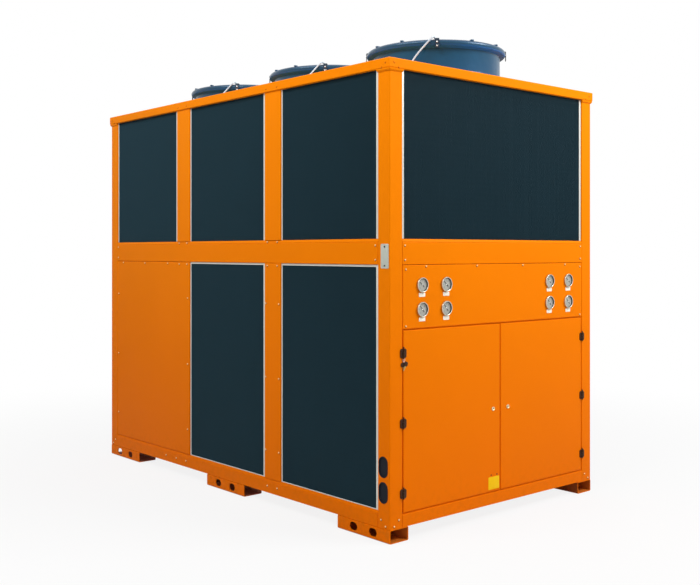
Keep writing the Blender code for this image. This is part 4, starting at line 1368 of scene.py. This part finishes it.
def add_screws():
    """Screws with their washers on each wall, and the painted rivets of the roof cap. The dark washers,
    and the dark discs under the rivets, are set low and show below the heads as painted shadows.
    """
    for side, wall in WALLS.items():
        heads, discs, rivets = [], [], []
        for name, u, z in screw_places():
            if name != side:
                continue
            if z > ROOF_BOTTOM:
                seat = CAP_OUT + WASHER_THICKNESS / 2
                rivets += rivet_head(wall, u, z, seat)
                # Under each rivet a dark disc, set a little low, shows below it as a painted shadow
                discs += lathe([(0.0054, CAP_OUT), (0.0052, seat), (0.0, seat)], 14,
                               wall.about(u, z - 0.0008))
            else:
                heads += screw_head(wall, u, z, WASHER_THICKNESS)
                discs += washer(wall, u, z)
        add_piece(f"screws_{side}", heads, FINISHES["screw"])
        add_piece(f"screw_shadow_washers_{side}", discs, FINISHES["washer"])
        add_piece(f"cap_rivets_{side}", rivets, FINISHES["paint"])


# Cable entries and the corner plate

def add_entries():
    """Rubber entries: a rolled rim round a sunk membrane."""
    place = WALLS["left"].place
    width, height = ENTRY_SIZE
    rims, skins = [], []
    for level in ENTRY_LEVELS:
        rings = []
        for turn in np.linspace(0, 2 * np.pi, 13)[:-1]:
            grow = 0.0010 + 0.0028 * math.cos(turn)
            outline = obround((ENTRY_U, level), width + 2 * grow, height + 2 * grow)
            rings.append(place(*outline.T, 0.0006 + 0.0022 * math.sin(turn)))
        rims.append(surface(np.stack(rings), close_rows=True, close_columns=True))
        skins += prism(obround((ENTRY_U, level), width, height), place, -0.0027, -0.0015)
    add_piece("entry_rims", rims, FINISHES["rubber"])
    add_piece("entry_membranes", skins, FINISHES["rubber"])


def add_corner_plate():
    """Bare grey plate on the near corner post, with a screw at each end."""
    wall = WALLS["left"]
    face = 0.0016
    sheet = plate(wall.place, PLATE_U, PLATE_Z, (0.0, face), 0.006, 0.0008)
    add_piece("corner_plate", sheet, FINISHES["plate"])
    heads = []
    for level in (PLATE_Z[0] + 0.012, PLATE_Z[1] - 0.012):
        heads += screw_head(wall, sum(PLATE_U) / 2, level, face)
    add_piece("corner_plate_screws", heads, FINISHES["motor"])


# Fans

COWL_THROAT = 0.314
COWL_WALL = 0.004
COWL_TOP = COWL_HIGH[2] - DECK
LIP_RADIUS = 0.016
LIP_OUTER = COWL_THROAT + 2 * LIP_RADIUS
GUARD_SEAT = COWL_TOP + GAP
ARM_THICKNESS = 0.005
ARM_TAB = 0.048
STATOR_RADIUS = 0.085
STATOR_BOTTOM = GUARD_SEAT + ARM_THICKNESS / 2 - 0.040
TERMINAL = (0.090, 0.070, 0.012)
HUB_RADIUS = 0.095
HUB_TOP = STATOR_BOTTOM - 0.005
HUB_BOTTOM = HUB_TOP - 0.080
SPOKE_COUNT = 12
SPOKE_RADIUS = 0.0025
RING_RADII = (0.098, 0.312)
BOLT_CIRCLE = 0.331
ARM_ANGLE = 45.0
GLAND_PLACE = (-0.347, -0.157)
GLAND_HEIGHT = 0.022
CABLE_RADIUS = 0.004


def add_cowl(name, centre):
    """Pressed cowl: foot flange, a bead, the straight throat and a lip rolled outwards."""
    outer = COWL_THROAT + COWL_WALL
    lip = (COWL_THROAT + LIP_RADIUS, COWL_TOP - LIP_RADIUS)
    profile = [(COWL_THROAT, GAP), (0.3445, GAP), (0.345, 0.0008), (0.345, 0.0038), (0.3442, 0.0043),
               *bend((outer + 0.004, 0.0083), 0.004, 270, 180, 4),
               *bend((outer, 0.030), 0.0035, -80, 80, 6), (outer, COWL_TOP - 0.045),
               (outer + 0.0015, COWL_TOP - 0.037), *bend(lip, LIP_RADIUS, -52, 180, 22)]
    patches = lathe(profile, 128, about_point(centre), closed=True)
    cowl = add_piece(f"fan_{name}_cowl_pressing", patches, FINISHES["enamel"], smooth=50.0)
    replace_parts(cowl, f"fan_{name}_cowl")
    bolts = []
    head = [(0.0, 0.0052), (0.0052, 0.0052), (0.0060, 0.0044), (0.0060, 0.0010),
            (0.0085, 0.0010), (0.0085, 0.0)]
    for turn in np.radians(np.arange(15, 360, 30)):
        spot = centre + np.array([BOLT_CIRCLE * math.cos(turn), BOLT_CIRCLE * math.sin(turn), 0.0043])
        bolts += lathe(head, 6, about_point(spot))
    add_piece(f"fan_{name}_cowl_bolts", bolts, FINISHES["bright"])


def radial_place(centre, degrees):
    """Places a side view (radius, height) and carries it sideways, at an angle."""
    turn = math.radians(degrees)
    out = np.array([math.cos(turn), math.sin(turn), 0.0])
    across = np.array([-math.sin(turn), math.cos(turn), 0.0])

    def place(a, b, c):
        a, b, c = matched(a, b, c)
        flat = a[..., None] * out + c[..., None] * across
        return centre + flat + b[..., None] * np.array([0.0, 0.0, 1.0])
    return place


def add_guard(name, centre, looks):
    """Wire guard: rings of round wire under spokes, four of them flat motor arms."""
    wire = looks.guard_wire / 2
    radii = np.arange(*RING_RADII, looks.ring_pitch)
    level = GUARD_SEAT + 0.0005 - wire
    turn = np.linspace(0, 2 * np.pi, 9)[:-1]
    patches = []
    for radius in radii:
        profile = np.stack([radius + wire * np.cos(turn), level + wire * np.sin(turn)], axis=1)
        patches += lathe(profile, 96, about_point(centre), closed=True)
    high = GUARD_SEAT + SPOKE_RADIUS
    clips = []
    for i in range(SPOKE_COUNT):
        place = radial_place(centre, ARM_ANGLE + i * 360 / SPOKE_COUNT)
        if i % 3:
            run = np.array([[0.060, high], [0.20, high], [0.334, high], [0.3375, high - 0.0004]])
            patches += tube(place(*run.T, 0.0), SPOKE_RADIUS, 10)
            rise = (GUARD_SEAT + 0.0002, GUARD_SEAT + ARM_THICKNESS + 0.0010)
            clips += plate(lying(place), (LIP_OUTER - 0.028, LIP_OUTER - 0.007), (-0.007, 0.007),
                           rise, 0.003, 0.002)
    add_piece(f"fan_{name}_guard_clips", clips, FINISHES["enamel"], smooth=40.0)
    guard = add_piece(f"fan_{name}_guard_wires", patches, FINISHES["wire"], smooth=40.0)
    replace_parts(guard, f"fan_{name}_guard")
    arms, heads = [], []
    for k in range(4):
        place = radial_place(centre, ARM_ANGLE + 90 * k)
        mid = GUARD_SEAT + ARM_THICKNESS / 2
        tab = LIP_OUTER + GAP + 0.0015
        line = [(0.05, mid), (tab, mid), (tab, GUARD_SEAT + ARM_THICKNESS - ARM_TAB)]
        arms += prism(folded(line, radius=0.004, thickness=0.003), place, -0.010, 0.010)
        for drop in (0.020, 0.038):
            z = GUARD_SEAT + ARM_THICKNESS - drop
            head = [(0.0, 0.0022), (0.0022, 0.0020), (0.0036, 0.0011), (0.0040, 0.0)]
            heads += lathe(head, 16, lambda a, b, c, p=place, h=z: p(tab + 0.0015 + c, h + a, b))
    add_piece(f"fan_{name}_motor_arms", arms, FINISHES["wire"], smooth=40.0)
    add_piece(f"fan_{name}_arm_screws", heads, FINISHES["bright"])
    add_motor(name, centre)


def lying(place):
    """The same spot on a fan with its second and third measures changed over."""
    return lambda a, b, c: place(a, c, b)


def add_motor(name, centre):
    """Fixed part of the motor: a ribbed disc, with a terminal box on the arms."""
    top = GUARD_SEAT + ARM_THICKNESS / 2
    r = STATOR_RADIUS
    profile = [(0.0, STATOR_BOTTOM), (r - 0.003, STATOR_BOTTOM), (r, STATOR_BOTTOM + 0.003)]
    for step in np.arange(STATOR_BOTTOM + 0.006, top - 0.008, 0.006):
        profile += [(r, step), (r - 0.0025, step + 0.001), (r - 0.0025, step + 0.003), (r, step + 0.004)]
    profile += [(r, top - 0.003), (r - 0.003, top - 0.0005), (0.062, top - 0.0005), (0.058, top - 0.003),
                (0.0, top - 0.003)]
    stator = lathe(profile, 64, about_point(centre))
    add_piece(f"fan_{name}_stator", stator, FINISHES["motor"], smooth=30.0)
    a, b, height = TERMINAL[0] / 2, TERMINAL[1] / 2, TERMINAL[2]
    low = GUARD_SEAT + ARM_THICKNESS / 4
    high = GUARD_SEAT + ARM_THICKNESS + height
    place = lying(radial_place(centre, ARM_ANGLE))
    box = plate(place, (-a, a), (-b, b), (low, high - 0.002), 0.006, 0.0005)
    box += plate(place, (-a + 0.0015, a - 0.0015), (-b + 0.0015, b - 0.0015), (high - 0.0016, high),
                 0.005, 0.0008)
    add_piece(f"fan_{name}_terminal_box", box, FINISHES["motor"])
    heads = []
    dome = [(0.0, high - 0.0001), (0.0028, high - 0.0004), (0.0034, high - 0.0012)]
    for u in (-a + 0.008, a - 0.008):
        for v in (-b + 0.008, b - 0.008):
            heads += lathe(dome, 12, lambda x, y, c, i=u, j=v: place(i + x, j + y, c))
    add_piece(f"fan_{name}_terminal_screws", heads, FINISHES["bright"])


BLADE_COUNT = 6
BLADE_ROOT = 0.0855
BLADE_TIP = COWL_THROAT - 0.0055
BLADE_CHORDS = (0.115, 0.165)
BLADE_PITCHES = (math.radians(30.0), math.radians(17.0))
BLADE_SWEEP = math.radians(16.0)
BLADE_CAMBER = 0.008
BLADE_THICKNESS = 0.004


def blade_rings(stations=18, around=40):
    """Closed blade: rings round the chord, from root to tip.

    Along the span the chord and pitch change evenly and the sweep grows with the square. Round
    the chord the camber is a parabola, and the thickness swells like an ellipse.
    """
    span = np.linspace(0, 1, stations)[:, None]
    phase = np.linspace(0, 2 * np.pi, around, endpoint=False)[None, :]
    radius = BLADE_ROOT + (BLADE_TIP - BLADE_ROOT) * span
    chord = BLADE_CHORDS[0] + (BLADE_CHORDS[1] - BLADE_CHORDS[0]) * span
    pitch = BLADE_PITCHES[0] + (BLADE_PITCHES[1] - BLADE_PITCHES[0]) * span
    along = -0.5 * np.cos(phase) * chord
    camber = BLADE_CAMBER * (1 - np.cos(phase) ** 2)
    swell = BLADE_THICKNESS / 2 * np.sin(phase) * (0.55 + 0.45 * np.cos(phase / 2) ** 2)
    angle = BLADE_SWEEP * span ** 2 + (along * np.cos(pitch) - swell * np.sin(pitch)) / radius
    rise = along * np.sin(pitch) + camber + swell * np.cos(pitch)
    middle = (HUB_BOTTOM + HUB_TOP - BLADE_CAMBER) / 2
    return radius + 0 * phase, angle, middle + rise


def add_impeller(name, centre):
    """Rotor: a domed hub and six twisted blades."""
    r, k = HUB_RADIUS, 0.010
    profile = [(0.0, HUB_BOTTOM), *bend((r - k, HUB_BOTTOM + k), k, 270, 360, 6),
               *bend((r - k, HUB_TOP - k), k, 0, 90, 6), (0.018, HUB_TOP), (0.018, STATOR_BOTTOM - GAP),
               (0.0, STATOR_BOTTOM - GAP)]
    patches = lathe(profile, 72, about_point(centre))
    radius, angle, level = blade_rings()
    for i in range(BLADE_COUNT):
        turn = angle + 2 * np.pi * i / BLADE_COUNT
        rings = np.stack([radius * np.cos(turn), radius * np.sin(turn), level], axis=-1) + centre
        patches += tower(rings)
    rotor = add_piece(f"fan_{name}_rotor", patches, FINISHES["blade"], f"{name}_rotor", smooth=40.0)
    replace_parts(rotor, f"fan_{name}_impeller")


def cable_points():
    """Route of a fan's cable, from its gland over the lip to the terminal box."""
    over = GUARD_SEAT + ARM_THICKNESS + GAP + CABLE_RADIUS
    end = (TERMINAL[0] / 2 + GAP) * math.sqrt(0.5)
    return [
        (*GLAND_PLACE, GLAND_HEIGHT + GAP),
        (*GLAND_PLACE, GLAND_HEIGHT + 0.007),
        (*GLAND_PLACE, GLAND_HEIGHT + 0.016),
        (-0.317, -0.184, COWL_TOP - 0.074),
        (-0.279, -0.218, COWL_TOP - 0.015),
        (-0.262, -0.232, over - 0.003),
        (-0.243, -0.224, over + 0.001),
        (-0.205, -0.196, over),
        (-0.150, -0.150, over),
        (-0.090, -0.090, over),
        (-end, -end, over),
    ]


def add_cable(name, centre):
    """Sheathed cable between its gland and the motor, and the gland's nut and body."""
    path = smooth_path(np.array(cable_points()) + centre, 8)
    cable = add_piece(f"fan_{name}_cable_sheath", tube(path, CABLE_RADIUS, 16), FINISHES["sheath"])
    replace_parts(cable, f"fan_{name}_cable")
    length = float(np.linalg.norm(np.diff(path, axis=0), axis=1).sum())
    place = about_point(centre + np.array([*GLAND_PLACE, 0.0]))
    base = [(0.0, 0.0), (0.0125, 0.0), (0.0125, 0.007), (0.0115, 0.0078), (0.0, 0.0078)]
    neck = [(0.0, 0.0078), (0.0095, 0.0078), (0.0095, 0.0105), (0.0, 0.0105)]
    nut = [(0.0, 0.0105), (0.0112, 0.0105), (0.0112, 0.0165), (0.0, 0.0165)]
    dome = [(0.0, 0.0165), (0.0098, 0.0165), (0.0088, 0.0195), (0.0062, 0.0218),
            (0.0045, GLAND_HEIGHT), (0.0, GLAND_HEIGHT)]
    gland = []
    for profile, sides in ((base, 6), (neck, 32), (nut, 8), (dome, 32)):
        gland += lathe(profile, sides, place)
    add_piece(f"fan_{name}_cable_gland", gland, FINISHES["motor"], smooth=30.0)


# Camera, lights and floor

def add_camera(looks):
    """Level camera whose height on the sensor is set by its shift."""
    data = bpy.data.cameras.new("camera")
    data.sensor_width = 36.0
    data.lens = looks.lens
    data.shift_y = looks.shift
    camera = add_object("camera", data)
    camera.location = looks.camera_place
    camera.rotation_euler = (math.pi / 2, 0.0, looks.camera_turn)
    bpy.context.scene.camera = camera


def add_light(name, place, target, size, power):
    """Rectangular soft light that faces a target."""
    data = bpy.data.lights.new(name, "AREA")
    data.shape = "RECTANGLE"
    data.size, data.size_y = size
    data.energy = power
    light = add_object(name, data)
    light.location = place
    aim = np.array(target, float) - np.array(place, float)
    level = math.hypot(aim[0], aim[1])
    light.rotation_euler = (math.atan2(level, -aim[2]), 0.0, math.atan2(-aim[0], aim[1]))


def add_world(looks):
    """White surroundings: plain light for the object, white for the camera."""
    world = bpy.data.worlds.new("studio")
    bpy.context.scene.world = world
    world.use_nodes = True
    nodes = Nodes(world.node_tree)
    lit = nodes.tree.nodes["Background"]
    nodes.feed(lit.inputs["Color"], (1.0, 1.0, 1.0, 1.0))
    nodes.feed(lit.inputs["Strength"], looks.ambient)
    surface_in = nodes.tree.nodes["World Output"].inputs["Surface"]
    nodes.feed(surface_in, nodes.white_seen(lit, "ShaderNodeBackground"))


# Shade on the floor: half its width and its end at the back; beside the left feet, how far in it
# reaches, where it ends and how far it leans back for each metre that it reaches in

SHADE_LEANS = {"front": 1.1447, "middle": 1.5116, "back": 1.8785}
SHADE_HALF = 0.570
SHADE_BACK = 1.0
SHADE_REACH = 0.165
SHADE_END = 1.22


def floor_finish(looks):
    """Pale floor, which fades with the distance from the middle to the white round it.

    It has a painted shadow under the cabinet, between the feet and close beside each left foot: its colour
    is dark brown there and the white is taken off.
    """
    tone = (looks.floor_tone,) * 3
    finish = Finish("studio_floor", tone, 0.75, specular_ior_level=0.1)
    grain = finish.noise(3.0, 2.0)
    finish.set("Roughness", 0.7 + grain * 0.1)
    x, y = finish.axis(0), finish.axis(1)
    fade = looks.floor_white + ((x ** 2 + y ** 2) ** 0.5).band(1.0, 4.5) * (1 - looks.floor_white)
    inner = float(corners("foot_left_front")[1][0])
    under = (SHADE_HALF - x.size()).band(0.0, 0.02) * (SHADE_BACK - y).band(0.0, 0.05)
    under = under * (y + HALF_LENGTH - (x - inner)).band(0.0, 0.02)
    inset = x + HALF_WIDTH
    near_edge = inset.band(0.0, 0.01) * (SHADE_REACH - inset).band(0.0, 0.01)
    near_edge = near_edge * (SHADE_END - y).band(0.0, 0.02)
    for place, lean in SHADE_LEANS.items():
        low, high = (float(point[1]) for point in corners(f"foot_left_{place}"))
        ahead = y - inset * lean
        beside = near_edge * (y - low).band(0.0, 0.01) * (high - ahead).band(0.0, 0.01)
        beside = beside * (ahead - low + (inner + HALF_WIDTH) * lean).band(0.0, 0.01)
        under = under + beside - under * beside
    # Painted shadow: the floor's colour turns dark brown where the shade mask is, and the white over it is
    # taken off there
    finish.set("Base Color", finish.blend(under, tone, (0.12, 0.06, 0.02)))
    surface_in = finish.tree.nodes["Material Output"].inputs["Surface"]
    finish.feed(surface_in, finish.white_seen(finish.shader, "ShaderNodeEmission", fade * (1 - under)))
    return finish.material


def add_floor(looks):
    """Pale round floor that keeps the object's shadow."""
    turn = np.linspace(0, 2 * np.pi, 96, endpoint=False)
    radius = np.array([0.0, 4.0, looks.floor_radius])[:, None]
    x, y = radius * np.cos(turn), radius * np.sin(turn)
    mesh = mesh_of("floor", [surface(np.stack([x, y, 0 * x - 0.0005], axis=-1), close_columns=True)])
    weld(mesh, (0, 0, 1))
    mesh.materials.append(floor_finish(looks))
    add_object("floor", mesh)


# Settings that a user would change

class HeatPumpCabinetSettings(bpy.types.PropertyGroup):
    paint_colour: FloatVectorProperty(name="Paint", description="Colour of the cabinet's powder coat",
                                      default=(0.92, 0.238, 0.001), min=0.0, max=1.0, subtype="COLOR")
    # Painted shade: the colour that the coat darkens to near the floor
    paint_low: FloatVectorProperty(name="Paint Shaded Low Down", description="Its colour near the floor",
                                   default=(0.82, 0.163, 0.0005), min=0.0, max=1.0, subtype="COLOR")
    paint_roughness: FloatProperty(name="Paint Roughness", description="How matt the powder coat is",
                                   default=0.42, min=0.05, max=1.0, subtype="FACTOR")


class HeatPumpCoilSettings(bpy.types.PropertyGroup):
    fin_colour: FloatVectorProperty(name="Fins", description="Colour of the coated fins",
                                    default=(0.0200, 0.0570, 0.0790), min=0.0, max=1.0, subtype="COLOR")
    strip_colour: FloatVectorProperty(name="Casing Strips", description="Colour of the casing strips",
                                      default=(0.66, 0.68, 0.62), min=0.0, max=1.0, subtype="COLOR")
    fin_pitch: FloatProperty(name="Fin Pitch", description="Distance from one fin to the next",
                             default=0.0025, min=0.001, max=0.02, unit="LENGTH", precision=4)
    fin_front: FloatProperty(name="Fin Front", description="Level of the fins' edges on the wall",
                             default=-0.0095, min=-0.0114, max=-0.0081, unit="LENGTH", precision=4)
    tube_pitch: FloatProperty(name="Tube Pitch", description="Distance between tube rows behind the fins",
                              default=0.025, min=0.01, max=0.1, unit="LENGTH", precision=4)


class HeatPumpFanSettings(bpy.types.PropertyGroup):
    cowl_colour: FloatVectorProperty(name="Cowl", description="Colour of the cowls' enamel",
                                     default=(0.011, 0.076, 0.150), min=0.0, max=1.0, subtype="COLOR")
    guard_wire: FloatProperty(name="Guard Wire", description="Thickness of the guard's ring wires",
                              default=0.003, min=0.001, max=0.01, unit="LENGTH", precision=4)
    ring_pitch: FloatProperty(name="Ring Pitch", description="Distance between the guard's rings",
                              default=0.0142, min=0.008, max=0.1, unit="LENGTH", precision=4)


class HeatPumpStageSettings(bpy.types.PropertyGroup):
    lens: FloatProperty(name="Lens", description="Focal length on a 36 mm sensor", default=50.25,
                        min=10.0, max=300.0, unit="CAMERA")
    shift: FloatProperty(name="Shift", description="Vertical shift of the picture", default=-0.0584,
                         min=-0.5, max=0.5)
    camera_place: FloatVectorProperty(name="Camera Place", description="Where the camera stands",
                                      default=(-3.5513, -4.2383, 1.2379), unit="LENGTH",
                                      subtype="TRANSLATION")
    camera_turn: FloatProperty(name="Camera Turn", description="Heading of the level camera",
                               default=math.radians(-41.079), subtype="ANGLE")
    ambient: FloatProperty(name="Ambient", description="Strength of the surroundings' light", default=0.36,
                           min=0.0, max=2.0)
    key_power: FloatProperty(name="Key Light", description="Power of the light on the front",
                             default=206.0, min=0.0, unit="POWER")
    side_power: FloatProperty(name="Side Light", description="Power of the light on the long side",
                              default=138.0, min=0.0, unit="POWER")
    top_power: FloatProperty(name="Top Light", description="Power of the light from above",
                             default=50.0, min=0.0, unit="POWER")
    floor_tone: FloatProperty(name="Floor", description="How pale the floor is", default=0.62, min=0.0,
                              max=1.0, subtype="FACTOR")
    floor_white: FloatProperty(name="Floor White", description="Share of white over the near floor",
                               default=0.86, min=0.0, max=1.0, subtype="FACTOR")
    floor_radius: FloatProperty(name="Floor Radius", description="Radius of the floor", default=60.0,
                                min=5.0, unit="LENGTH")


# Operators

class HEATPUMP_OT_stage(bpy.types.Operator):
    """Camera, lights, surroundings and floor."""

    bl_idname = "heat_pump.stage"
    bl_label = "Stage"

    def execute(self, context):
        looks = context.scene.heat_pump_stage
        context.scene.view_settings.view_transform = "Standard"
        add_camera(looks)
        add_light("key_light", (1.7, -4.0, 4.2), (0.0, -1.2, 1.7), (2.4, 1.6), looks.key_power)
        add_light("side_light", (-3.3, -0.7, 4.5), (-0.7, 0.0, 1.6), (3.2, 1.4), looks.side_power)
        add_light("top_light", (0.5, 0.6, 5.6), (0.0, 0.0, 2.0), (3.0, 3.0), looks.top_power)
        add_world(looks)
        add_floor(looks)
        return {"FINISHED"}


class HEATPUMP_OT_finishes(bpy.types.Operator):
    """Finishes of all pieces and of the solids that stay in view."""

    bl_idname = "heat_pump.finishes"
    bl_label = "Finishes"

    def execute(self, context):
        make_finishes(context.scene)
        return {"FINISHED"}


class HEATPUMP_OT_cabinet(bpy.types.Operator):
    """Folded posts, rails, base, feet, roof cap and fixed panels."""

    bl_idname = "heat_pump.cabinet"
    bl_label = "Cabinet"

    def execute(self, context):
        add_corner_posts()
        add_mid_posts()
        add_mid_rails()
        add_base_frame()
        add_feet()
        add_roof()
        add_corner_skirts()
        add_door_head()
        add_door_returns()
        for name, side in (("side_panel_left", "left"), ("side_panel_right", "right"),
                           ("back_panel", "back"), ("gauge_panel", "front")):
            add_tray(name, WALLS[side], FINISHES["paint"])
        return {"FINISHED"}


class HEATPUMP_OT_coils(bpy.types.Operator):
    """Fins and casing strips of the twelve coils."""

    bl_idname = "heat_pump.coils"
    bl_label = "Coils"

    def execute(self, context):
        looks = context.scene.heat_pump_coils
        for hand in ("left", "right"):
            for place in PLACES:
                add_coil(f"coil_{hand}_upper_{place}", WALLS[hand], looks, (*SIDE_STRIPS, 0.0, 0.0))
            for place in PLACES[:2]:
                add_coil(f"coil_{hand}_lower_{place}", WALLS[hand], looks, (*SIDE_STRIPS, *CROSS_STRIPS))
        for end in ("front", "back"):
            add_coil(f"coil_{end}_upper", WALLS[end], looks, (END_STRIP, END_STRIP, 0.0, 0.0))
        return {"FINISHED"}


class HEATPUMP_OT_doors(bpy.types.Operator):
    """Two doors with their hinges, locks, keys and blank sticker."""

    bl_idname = "heat_pump.doors"
    bl_label = "Doors"

    def execute(self, context):
        for hand in ("left", "right"):
            add_tray(f"door_{hand}", WALLS["front"], FINISHES["paint"], body=f"{hand}_door")
        add_hinges()
        add_locks()
        add_keys()
        add_sticker()
        return {"FINISHED"}


class HEATPUMP_OT_gauges(bpy.types.Operator):
    """Eight pressure gauges and their blank tags."""

    bl_idname = "heat_pump.gauges"
    bl_label = "Gauges"

    def execute(self, context):
        add_gauges()
        add_tags()
        return {"FINISHED"}


class HEATPUMP_OT_fittings(bpy.types.Operator):
    """Screws, cable entries and the plate on the near corner."""

    bl_idname = "heat_pump.fittings"
    bl_label = "Fittings"

    def execute(self, context):
        add_screws()
        add_entries()
        add_corner_plate()
        return {"FINISHED"}


class HEATPUMP_OT_fans(bpy.types.Operator):
    """Three roof fans with cowls, guards, motors, impellers and cables."""

    bl_idname = "heat_pump.fans"
    bl_label = "Fans"

    def execute(self, context):
        for name in PLACES:
            centre = fan_centre(name)
            add_cable(name, centre)
            add_cowl(name, centre)
            add_guard(name, centre, context.scene.heat_pump_fans)
            add_impeller(name, centre)
        return {"FINISHED"}


OPERATORS = (HEATPUMP_OT_stage, HEATPUMP_OT_finishes, HEATPUMP_OT_fans, HEATPUMP_OT_cabinet,
             HEATPUMP_OT_coils, HEATPUMP_OT_doors, HEATPUMP_OT_gauges, HEATPUMP_OT_fittings)
SETTINGS = {
    "heat_pump_cabinet": HeatPumpCabinetSettings,
    "heat_pump_coils": HeatPumpCoilSettings,
    "heat_pump_fans": HeatPumpFanSettings,
    "heat_pump_stage": HeatPumpStageSettings,
}


class HEATPUMP_PT_panel(bpy.types.Panel):
    """Lists the settings and the steps that build the heat pump."""

    bl_idname = "HEATPUMP_PT_panel"
    bl_label = "Heat Pump"
    bl_space_type = "VIEW_3D"
    bl_region_type = "UI"
    bl_category = "Heat Pump"

    def draw(self, context):
        for name, group in SETTINGS.items():
            box = self.layout.box()
            for field in group.__annotations__:
                box.prop(getattr(context.scene, name), field)
        for operator in OPERATORS:
            self.layout.operator(operator.bl_idname)


def register():
    for group in (*SETTINGS.values(), *OPERATORS, HEATPUMP_PT_panel):
        bpy.utils.register_class(group)
    for name, group in SETTINGS.items():
        setattr(bpy.types.Scene, name, PointerProperty(type=group))


def unregister():
    for name in SETTINGS:
        delattr(bpy.types.Scene, name)
    for group in reversed((*SETTINGS.values(), *OPERATORS, HEATPUMP_PT_panel)):
        bpy.utils.unregister_class(group)


def main():
    """Builds everything in order."""
    register()
    steps = bpy.ops.heat_pump
    for step in (steps.stage, steps.finishes, steps.fans, steps.cabinet, steps.coils, steps.doors,
                 steps.gauges, steps.fittings):
        step()


if __name__ == "__main__":
    main()
